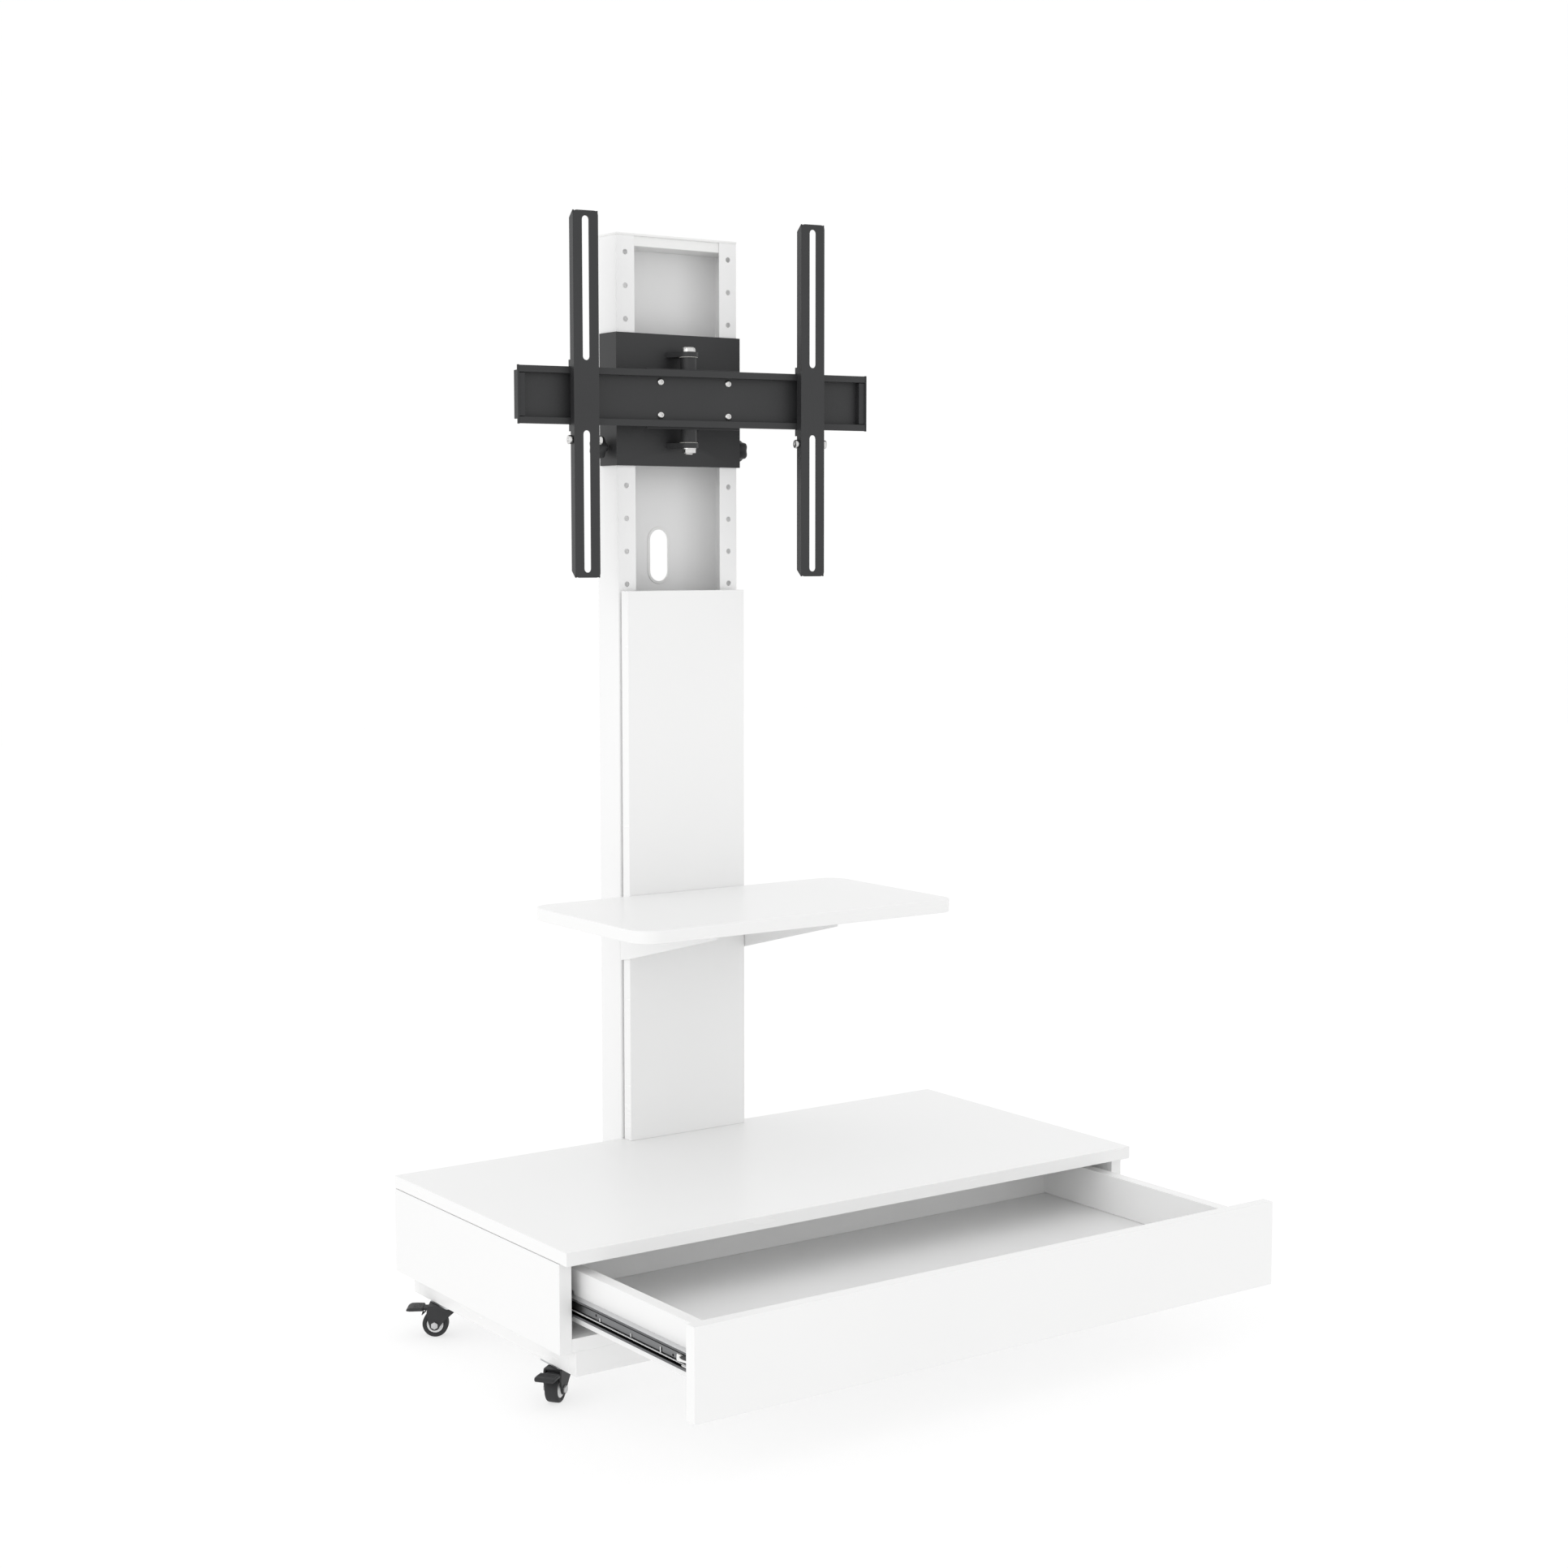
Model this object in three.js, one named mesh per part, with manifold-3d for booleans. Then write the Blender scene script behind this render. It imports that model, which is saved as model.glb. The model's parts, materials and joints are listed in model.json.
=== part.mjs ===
// Mobile media stand: a low cabinet with one drawer on four braked casters, a steel column behind it
// with a laminate front cover, an adjustable shelf, and a swivelling screen mount.
// Millimetres, +Z up, +Y towards the back. The origin is on the floor, under the middle of the
// overall box, with the drawer pulled open.
import * as THREE from "three";
import { mergeVertices } from "three/addons/utils/BufferGeometryUtils.js";
import Module from "manifold-3d";

const wasm = await Module();
wasm.setup();

// ---------------------------------------------------------------- driving dimensions
const BOARD = 15; // thickness of every laminated board
const W = 800; // cabinet width
const D = 396; // cabinet depth, front edge of the top panel at y = 0
const TOP_Z = 182; // top face of the cabinet
const CAB_Z = 68; // underside of the carcass
const SIDE_SETBACK = 15.5; // front edges of sides and bottom, behind the closed drawer front

const PLINTH_Z = 40.5; // underside of the plinth
const PLINTH_INSET = 20; // plinth's outer side faces, in from the cabinet's sides
const PLINTH_FRONT = 16.5;
const PLINTH_BACK = 389;
const PLINTH_RAIL = 50; // width of the plinth's side rails, which carry the casters

const DRAWER_OPEN = 240; // how far the drawer is pulled out at rest
const FRONT_W = 797;
const FRONT_Z = [68, 165.5];
const DRAWER_OUT = 373; // outer faces of the drawer sides, 12 mm from the cabinet sides
const DRAWER_Z = [95.5, 153.5];
const DRAWER_BACK = 108; // inner face of the drawer back, drawer open
const HDF = 4; // drawer bottom
const HDF_Z = 102.5;
const GROOVE = 5; // depth of the groove that holds it

const SLIDE_Z = 116; // middle of the slides
const SLIDE_LEN = 350;
const SLIDE_OUTER_Y = 29.5; // front end of the fixed members, hidden behind the side's front edge in the photograph
const SLIDE_GAP = 12; // cabinet side to drawer side

const COL_HALF = 88; // column: half width
const COL_Y = [396, 443];
const COL_WALL = 1.5;
const COL_LIP = 26; // front lips of the channel
const COL_Z = [70, 1290];
const COVER_HALF = 85.4;
const COVER_Y = [377.7, 392.7];
const COVER_TOP = 862;
const CABLE_SLOTS = [222, 905]; // heights of the cable holes in the column's back
const STEP_HOLES = { x: 75, first: 230, last: 1270, pitch: 40, r: 3.3 }; // holes in the front lips, for the height steps
const FOOT_LEG = 300; // length of the foot bracket on the cabinet's bottom panel

const SHELF_HALF = 228;
const SHELF_Y = [124, 377.2];
const SHELF_Z = 473.5; // underside
const SHELF_R = 28;
const WING = 2; // sheet of the shelf bracket
const WING_TIP_Y = 182;
const WING_TIP_Z = 460;
const WING_ROOT_Z = 407;

const MOUNT_Z = 1094; // middle of the screen mount
const PIVOT_Y = 372; // swivel pin
const SWIVEL_REST = -9; // degrees, how far the head is turned at rest
const CARRIER_HALF_H = 80;
const BAR_HALF = 230;
const ARM_HALF_H = 215;
const ARM_X = 150; // arms from the middle of the crossbar at rest
const ARM_HALF_W = 16;

const WHEEL_R = 15;
const WHEEL_W = 14.4;
const TRAIL = 17; // swivel axis to wheel axle
const CASTER_X = 364; // swivel axes
const CASTER_Y = [74, 330];

// ---------------------------------------------------------------- materials
const mat = (color, roughness, metalness = 0) =>
  new THREE.MeshStandardMaterial({ color, roughness, metalness });
const laminate = mat(0xf2f2f1, 0.42);
const hardboard = mat(0xececea, 0.55);
const whiteSteel = mat(0xf3f3f2, 0.38, 0.1);
const blackSteel = mat(0x1d1e20, 0.45, 0.3);
const zinc = mat(0x8d9094, 0.35, 0.9);
const brightSteel = mat(0xc6c8ca, 0.25, 1);
const blackPlastic = mat(0x232426, 0.5);
const whitePlastic = mat(0xe9e9e7, 0.4);
const greyPlastic = mat(0xd9dadb, 0.4);
const tyreRubber = mat(0x2b2c2e, 0.7);

// ---------------------------------------------------------------- helpers
const V = (x, y) => new THREE.Vector2(x, y);

function box(x0, x1, y0, y1, z0, z1) {
  return new THREE.BoxGeometry(x1 - x0, y1 - y0, z1 - z0).translate(
    (x0 + x1) / 2,
    (y0 + y1) / 2,
    (z0 + z1) / 2,
  );
}

function shapeOf(points, holes = []) {
  const s = new THREE.Shape(points.map(([a, b]) => V(a, b)));
  for (const h of holes) s.holes.push(new THREE.Path(h.map(([a, b]) => V(a, b))));
  return s;
}

function extrude(shape, depth) {
  return new THREE.ExtrudeGeometry(shape, { depth, bevelEnabled: false, curveSegments: 8 });
}

// outline in (y, z), swept along x
function alongX(points, x0, x1, holes = []) {
  const m = new THREE.Matrix4().makeBasis(
    new THREE.Vector3(0, 1, 0),
    new THREE.Vector3(0, 0, 1),
    new THREE.Vector3(1, 0, 0),
  );
  return extrude(shapeOf(points, holes), x1 - x0).applyMatrix4(m).translate(x0, 0, 0);
}

// outline in (x, z), swept along y
function alongY(points, y0, y1, holes = []) {
  const m = new THREE.Matrix4().makeBasis(
    new THREE.Vector3(1, 0, 0),
    new THREE.Vector3(0, 0, 1),
    new THREE.Vector3(0, -1, 0),
  );
  return extrude(shapeOf(points, holes), y1 - y0).applyMatrix4(m).translate(0, y1, 0);
}

// outline in (x, y), swept along z
function alongZ(points, z0, z1, holes = []) {
  return extrude(shapeOf(points, holes), z1 - z0).translate(0, 0, z0);
}

const circle = (cx, cy, r, n, a0 = 0) =>
  Array.from({ length: n }, (_, i) => {
    const a = a0 + (2 * Math.PI * i) / n;
    return [cx + r * Math.cos(a), cy + r * Math.sin(a)];
  });

// a slot with round ends, long in the second coordinate
function slot(cx, cy, halfW, halfL, n = 6) {
  const p = [];
  for (let i = 0; i <= n; i++) {
    const a = (Math.PI * i) / n;
    p.push([cx + halfW * Math.cos(a), cy + halfL - halfW + halfW * Math.sin(a)]);
  }
  for (let i = 0; i <= n; i++) {
    const a = Math.PI + (Math.PI * i) / n;
    p.push([cx + halfW * Math.cos(a), cy - halfL + halfW + halfW * Math.sin(a)]);
  }
  return p;
}

// a rectangle with round corners
function roundRect(x0, x1, y0, y1, r, n = 8) {
  const p = [];
  const corner = (cx, cy, a0) => {
    for (let i = 0; i <= n; i++) {
      const a = a0 + (Math.PI / 2) * (i / n);
      p.push([cx + r * Math.cos(a), cy + r * Math.sin(a)]);
    }
  };
  corner(x1 - r, y1 - r, 0);
  corner(x0 + r, y1 - r, Math.PI / 2);
  corner(x0 + r, y0 + r, Math.PI);
  corner(x1 - r, y0 + r, 1.5 * Math.PI);
  return p;
}

// a turned profile [[radius, height], ...] about a line along local y
function turned(profile, segments) {
  return new THREE.LatheGeometry(
    profile.map(([r, h]) => V(r, h)),
    segments,
  );
}

function solid(geometry) {
  const g = geometry.clone();
  for (const k of Object.keys(g.attributes)) if (k !== "position") g.deleteAttribute(k);
  const m = mergeVertices(g, 1e-4);
  return new wasm.Manifold(
    new wasm.Mesh({
      numProp: 3,
      vertProperties: new Float32Array(m.attributes.position.array),
      triVerts: new Uint32Array(m.index.array),
    }),
  );
}

function fromSolid(s) {
  const m = s.getMesh();
  const pos = new Float32Array((m.vertProperties.length / m.numProp) * 3);
  for (let i = 0; i < pos.length / 3; i++)
    for (let k = 0; k < 3; k++) pos[i * 3 + k] = m.vertProperties[i * m.numProp + k];
  const g = new THREE.BufferGeometry();
  g.setAttribute("position", new THREE.BufferAttribute(pos, 3));
  g.setIndex(new THREE.BufferAttribute(new Uint32Array(m.triVerts), 1));
  g.computeVertexNormals();
  return g;
}

const joinAll = (...parts) => fromSolid(parts.map(solid).reduce((a, b) => a.add(b)));
const cutAll = (base, ...tools) =>
  fromSolid(tools.map(solid).reduce((a, b) => a.subtract(b), solid(base)));

function piece(parent, name, geometry, material) {
  const m = new THREE.Mesh(geometry, material);
  m.name = name;
  parent.add(m);
  return m;
}

// ---------------------------------------------------------------- scene graph
const stand = new THREE.Group();
const frame = new THREE.Group(); // y = 0 at the top panel's front edge
frame.position.set(0, -(COL_Y[1] - DRAWER_OPEN) / 2, 0);
stand.add(frame);

// ---- cabinet
const half = W / 2;
const inner = half - BOARD;
const underTop = TOP_Z - BOARD;
piece(frame, "top_panel", box(-half, half, 0, D, underTop, TOP_Z), laminate);
piece(frame, "side_panel_left", box(-half, -inner, SIDE_SETBACK, D, CAB_Z, underTop), laminate);
piece(frame, "side_panel_right", box(inner, half, SIDE_SETBACK, D, CAB_Z, underTop), laminate);
piece(
  frame,
  "bottom_panel",
  box(-inner, inner, SIDE_SETBACK, D - BOARD, CAB_Z, CAB_Z + BOARD),
  laminate,
);
piece(frame, "back_panel", box(-inner, inner, D - BOARD, D, CAB_Z, underTop), laminate);

// ---- plinth
const pl = half - PLINTH_INSET;
piece(
  frame,
  "plinth_front",
  box(-pl, pl, PLINTH_FRONT, PLINTH_FRONT + BOARD, PLINTH_Z, CAB_Z),
  laminate,
);
piece(
  frame,
  "plinth_rear",
  box(-pl, pl, PLINTH_BACK - BOARD, PLINTH_BACK, PLINTH_Z, CAB_Z),
  laminate,
);
for (const [side, s] of [
  ["left", -1],
  ["right", 1],
])
  piece(
    frame,
    "plinth_rail_" + side,
    box(
      Math.min(s * pl, s * (pl - PLINTH_RAIL)),
      Math.max(s * pl, s * (pl - PLINTH_RAIL)),
      PLINTH_FRONT + BOARD,
      PLINTH_BACK - BOARD,
      PLINTH_Z,
      CAB_Z,
    ),
    laminate,
  );

// ---- drawer, in its own group so that it can be slid
const drawer = new THREE.Group();
frame.add(drawer);
const frontBack = -DRAWER_OPEN + BOARD; // rear face of the drawer front
const sideIn = DRAWER_OUT - BOARD;
const backOut = DRAWER_BACK + BOARD;
piece(
  drawer,
  "drawer_front",
  cutAll(
    box(-FRONT_W / 2, FRONT_W / 2, -DRAWER_OPEN, frontBack, FRONT_Z[0], FRONT_Z[1]),
    box(
      -sideIn - GROOVE,
      sideIn + GROOVE,
      frontBack - GROOVE,
      frontBack + 1,
      HDF_Z - 0.2,
      HDF_Z + HDF + 0.2,
    ),
  ),
  laminate,
);
for (const [side, s] of [
  ["left", -1],
  ["right", 1],
]) {
  const pts = [
    [s * DRAWER_OUT, DRAWER_Z[0]],
    [s * sideIn, DRAWER_Z[0]],
    [s * sideIn, HDF_Z - 0.2],
    [s * (sideIn + GROOVE), HDF_Z - 0.2],
    [s * (sideIn + GROOVE), HDF_Z + HDF + 0.2],
    [s * sideIn, HDF_Z + HDF + 0.2],
    [s * sideIn, DRAWER_Z[1]],
    [s * DRAWER_OUT, DRAWER_Z[1]],
  ];
  piece(
    drawer,
    "drawer_side_" + side,
    alongY(s > 0 ? pts.slice().reverse() : pts, frontBack, backOut),
    laminate,
  );
}
piece(
  drawer,
  "drawer_back",
  box(-sideIn, sideIn, DRAWER_BACK, backOut, HDF_Z + HDF, DRAWER_Z[1]),
  laminate,
);
piece(
  drawer,
  "drawer_bottom",
  box(
    -sideIn - GROOVE + 0.4,
    sideIn + GROOVE - 0.4,
    frontBack - GROOVE + 0.4,
    backOut,
    HDF_Z,
    HDF_Z + HDF,
  ),
  hardboard,
);

// ---- drawer slides: u runs from the cabinet side's inner face to the drawer side
for (const [side, s] of [
  ["left", -1],
  ["right", 1],
]) {
  const at = (list) => {
    const p = list.map(([u, z]) => [s * (inner - u), SLIDE_Z + z]);
    return p;
  };
  const outerP = at([
    [0, -14.5],
    [10.4, -14.5],
    [10.4, -11],
    [9.4, -11],
    [9.4, -13.5],
    [1, -13.5],
    [1, 13.5],
    [9.4, 13.5],
    [9.4, 11],
    [10.4, 11],
    [10.4, 14.5],
    [0, 14.5],
  ]);
  if (s > 0) outerP.push(...outerP.splice(0, 6)); // the right-hand outline starts at its other flange
  const slideFront = frontBack + 2;
  piece(
    frame,
    "slide_outer_" + side,
    alongY(outerP, SLIDE_OUTER_Y, SLIDE_OUTER_Y + SLIDE_LEN),
    zinc,
  );
  const retP = at([
    [1.7, -12.8],
    [7.2, -12.8],
    [7.2, -10.3],
    [2.8, -10.3],
    [2.8, 10.3],
    [7.2, 10.3],
    [7.2, 12.8],
    [1.7, 12.8],
  ]);
  piece(frame, "slide_ball_retainer_" + side, alongY(retP, 30, 116), brightSteel);
  const innerP = at([
    [12, -9.75],
    [12, 9.75],
    [3.6, 9.75],
    [3.6, 6.9],
    [4.6, 6.9],
    [4.6, 8.75],
    [11, 8.75],
    [11, -8.75],
    [4.6, -8.75],
    [4.6, -6.9],
    [3.6, -6.9],
    [3.6, -9.75],
  ]);
  piece(drawer, "slide_inner_" + side, alongY(innerP, slideFront, slideFront + SLIDE_LEN), zinc);
  // release lever inside the inner member: a stepped plastic lever on a pivot near its rear end
  const lv = [
    [-217, -3.4],
    [-205, -3.4],
    [-202, -4],
    [-182, -4],
    [-179, -2.6],
    [-179, 3],
    [-181, 4.2],
    [-190, 4.2],
    [-200, 2.2],
    [-207, 1.6],
    [-213, 3.2],
    [-217, 2.6],
  ].map(([y, z]) => [y, SLIDE_Z + z]);
  const xa = s * (inner - 10.4);
  const xb = s * (inner - 5.2);
  piece(
    drawer,
    "slide_release_lever_" + side,
    alongX(lv, Math.min(xa, xb), Math.max(xa, xb)),
    whitePlastic,
  );
}

// ---- column
const lipIn = COL_HALF - COL_LIP;
function stepHoles() {
  const h = [];
  for (let z = STEP_HOLES.first; z <= STEP_HOLES.last; z += STEP_HOLES.pitch)
    for (const s of [-1, 1])
      h.push(alongY(circle(s * STEP_HOLES.x, z, STEP_HOLES.r, 10), COL_Y[0] - 3, COL_Y[0] + 4));
  return h;
}
piece(
  frame,
  "column_channel",
  cutAll(
    alongZ(
      [
        [-COL_HALF, COL_Y[0]],
        [-lipIn, COL_Y[0]],
        [-lipIn, COL_Y[0] + COL_WALL],
        [-COL_HALF + COL_WALL, COL_Y[0] + COL_WALL],
        [-COL_HALF + COL_WALL, COL_Y[1] - COL_WALL],
        [COL_HALF - COL_WALL, COL_Y[1] - COL_WALL],
        [COL_HALF - COL_WALL, COL_Y[0] + COL_WALL],
        [lipIn, COL_Y[0] + COL_WALL],
        [lipIn, COL_Y[0]],
        [COL_HALF, COL_Y[0]],
        [COL_HALF, COL_Y[1]],
        [-COL_HALF, COL_Y[1]],
      ],
      COL_Z[0],
      COL_Z[1],
    ),
    ...CABLE_SLOTS.map((z) => alongY(slot(0, z, 15, 34), COL_Y[1] - 6, COL_Y[1] + 4)),
    ...stepHoles(),
  ),
  whiteSteel,
);
piece(
  frame,
  "column_cover",
  box(-COVER_HALF, COVER_HALF, COVER_Y[0], COVER_Y[1], TOP_Z, COVER_TOP),
  laminate,
);
piece(
  frame,
  "column_cap",
  joinAll(
    box(-COL_HALF, COL_HALF, COL_Y[0], COL_Y[1], COL_Z[1], COL_Z[1] + 3),
    box(
      -COL_HALF + COL_WALL + 0.5,
      COL_HALF - COL_WALL - 0.5,
      COL_Y[0] + COL_WALL + 0.5,
      COL_Y[1] - COL_WALL - 0.5,
      COL_Z[1] - 12,
      COL_Z[1] + 1,
    ),
  ),
  whitePlastic,
);
// angle bracket inside the cabinet that ties the column to the back and bottom panels
const floorIn = CAB_Z + BOARD;
piece(
  frame,
  "column_foot_bracket",
  alongX(
    [
      [D - BOARD - FOOT_LEG, floorIn],
      [D - BOARD, floorIn],
      [D - BOARD, floorIn + 78],
      [D - BOARD - 3, floorIn + 78],
      [D - BOARD - 3, floorIn + 3],
      [D - BOARD - FOOT_LEG, floorIn + 3],
    ],
    -80,
    80,
  ),
  zinc,
);

// ---- shelf, in its own group so that it can be raised and lowered
const shelf = new THREE.Group();
frame.add(shelf);
const wingOutline = [
  [COL_Y[0] - 0.4, WING_ROOT_Z],
  [COL_Y[0] - 0.4, SHELF_Z],
  [WING_TIP_Y, SHELF_Z],
  [WING_TIP_Y, WING_TIP_Z],
  [COVER_Y[0], WING_ROOT_Z + 3],
].reverse();
piece(
  shelf,
  "shelf_bracket",
  joinAll(
    box(-COL_HALF, COL_HALF, COL_Y[0] - 2.9, COL_Y[0] - 0.4, WING_ROOT_Z, SHELF_Z),
    alongX(wingOutline, -COL_HALF, -COL_HALF + WING),
    alongX(wingOutline, COL_HALF - WING, COL_HALF),
    box(-COL_HALF, -COL_HALF + 17, WING_TIP_Y, COVER_Y[0] - 1.2, SHELF_Z - WING, SHELF_Z),
    box(COL_HALF - 17, COL_HALF, WING_TIP_Y, COVER_Y[0] - 1.2, SHELF_Z - WING, SHELF_Z),
  ),
  whiteSteel,
);
piece(
  shelf,
  "shelf_board",
  alongZ(
    roundRect(-SHELF_HALF, SHELF_HALF, SHELF_Y[0], SHELF_Y[1], SHELF_R),
    SHELF_Z,
    SHELF_Z + BOARD,
  ),
  laminate,
);

// ---- screen mount: carrier on the column
const carrier = new THREE.Group();
carrier.position.set(0, 0, MOUNT_Z);
frame.add(carrier);
const PLATE_Y = COL_Y[0] - 0.4; // rear face of the carrier's front plate
const cIn = COL_HALF + 0.4;
const cOut = cIn + 2;
const KNOB_Y = 415;
const KNOB_Z = -58;
const lug = (z0, z1) => {
  const pts = [];
  for (let i = 0; i <= 10; i++) {
    const a = Math.PI + (Math.PI * i) / 10;
    pts.push([12 * Math.cos(a), PIVOT_Y + 12 * Math.sin(a)]);
  }
  pts.push([20, PLATE_Y - 2], [-20, PLATE_Y - 2]);
  return alongZ(pts, z0, z1);
};
piece(
  carrier,
  "mount_carrier",
  cutAll(
    joinAll(
      box(-cOut, cOut, PLATE_Y - 2.5, PLATE_Y, -CARRIER_HALF_H, CARRIER_HALF_H),
      box(-cOut, -cIn, PLATE_Y - 2.5, 432, -CARRIER_HALF_H, CARRIER_HALF_H),
      box(cIn, cOut, PLATE_Y - 2.5, 432, -CARRIER_HALF_H, CARRIER_HALF_H),
      lug(52, 58),
      lug(-58, -52),
    ),
    alongZ(circle(0, PIVOT_Y, 5.3, 20), -70, 70),
    alongX(circle(KNOB_Y, KNOB_Z, 3.6, 12), -cOut - 2, -cIn + 0.2),
    alongX(circle(KNOB_Y, KNOB_Z, 3.6, 12), cIn - 0.2, cOut + 2),
  ),
  blackSteel,
);
piece(
  carrier,
  "swivel_pin",
  joinAll(
    alongZ(circle(0, PIVOT_Y, 5, 20), -66, 60),
    alongZ(circle(0, PIVOT_Y, 9, 20), 58.3, 64),
  ),
  brightSteel,
);
for (const [side, s] of [
  ["left", -1],
  ["right", 1],
]) {
  const lobes = [];
  for (let i = 0; i < 30; i++) {
    const a = (2 * Math.PI * i) / 30;
    const r = 12.6 + 1.6 * Math.cos(5 * a);
    lobes.push([KNOB_Y + r * Math.cos(a), KNOB_Z + r * Math.sin(a)]);
  }
  const span = (a, b) => [Math.min(s * a, s * b), Math.max(s * a, s * b)];
  piece(
    carrier,
    "clamp_knob_" + side,
    joinAll(
      alongX(circle(KNOB_Y, KNOB_Z, 3, 12), ...span(COL_HALF + 0.5, cOut + 8)),
      alongX(circle(KNOB_Y, KNOB_Z, 7, 16), ...span(cOut + 1, cOut + 6)),
      alongX(lobes, ...span(cOut + 5, cOut + 19)),
    ),
    blackPlastic,
  );
}

// ---- screen mount: head, crossbar and arms turn about the pin
const head = new THREE.Group();
head.position.set(0, PIVOT_Y, 0);
head.rotation.z = THREE.MathUtils.degToRad(SWIVEL_REST);
carrier.add(head);
piece(
  head,
  "swivel_head",
  cutAll(
    joinAll(
      alongZ(circle(0, 0, 10, 24), -51.4, 51.4),
      box(-7, 7, -14, -7, -36, 36),
      box(-62, 62, -15.7, -12.7, -36, 36),
    ),
    alongZ(circle(0, 0, 5.4, 20), -60, 60),
  ),
  blackSteel,
);
const BAR_BACK = -16;
piece(
  head,
  "crossbar",
  alongX(
    [
      [BAR_BACK, -28],
      [BAR_BACK, 28],
      [BAR_BACK - 10, 28],
      [BAR_BACK - 10, 34],
      [BAR_BACK - 12, 34],
      [BAR_BACK - 12, 26],
      [BAR_BACK - 2, 26],
      [BAR_BACK - 2, -26],
      [BAR_BACK - 12, -26],
      [BAR_BACK - 12, -34],
      [BAR_BACK - 10, -34],
      [BAR_BACK - 10, -28],
    ],
    -BAR_HALF,
    BAR_HALF,
  ),
  blackSteel,
);
const ARM_BACK = BAR_BACK - 12.4; // rear edges of the arm's flanges
const ARM_FRONT = ARM_BACK - 12; // the face that the screen is bolted to
const armFlange = [
  [ARM_FRONT + 1, -ARM_HALF_H],
  [ARM_BACK, -ARM_HALF_H + 8],
  [ARM_BACK, -42],
  [ARM_BACK + 5.2, -42],
  [ARM_BACK + 5.2, -29],
  [ARM_BACK + 2.8, -29],
  [ARM_BACK + 2.8, -34.5],
  [ARM_BACK, -34.5],
  [ARM_BACK, 34.5],
  [ARM_BACK + 2.8, 34.5],
  [ARM_BACK + 2.8, 29],
  [ARM_BACK + 5.2, 29],
  [ARM_BACK + 5.2, 42],
  [ARM_BACK, 42],
  [ARM_BACK, ARM_HALF_H - 8],
  [ARM_FRONT + 1, ARM_HALF_H],
];
for (const [side, s] of [
  ["left", -1],
  ["right", 1],
]) {
  const arm = new THREE.Group();
  arm.position.set(s * ARM_X, 0, 0);
  head.add(arm);
  piece(
    arm,
    "screen_arm_" + side,
    joinAll(
      alongY(
        roundRect(-ARM_HALF_W, ARM_HALF_W, -ARM_HALF_H, ARM_HALF_H, 5, 4),
        ARM_FRONT,
        ARM_FRONT + 2,
        [slot(0, 125, 4.4, 84), slot(0, -125, 4.4, 84)],
      ),
      alongX(armFlange, -ARM_HALF_W, -ARM_HALF_W + 2),
      alongX(armFlange, ARM_HALF_W - 2, ARM_HALF_W),
    ),
    blackSteel,
  );
}

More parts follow.
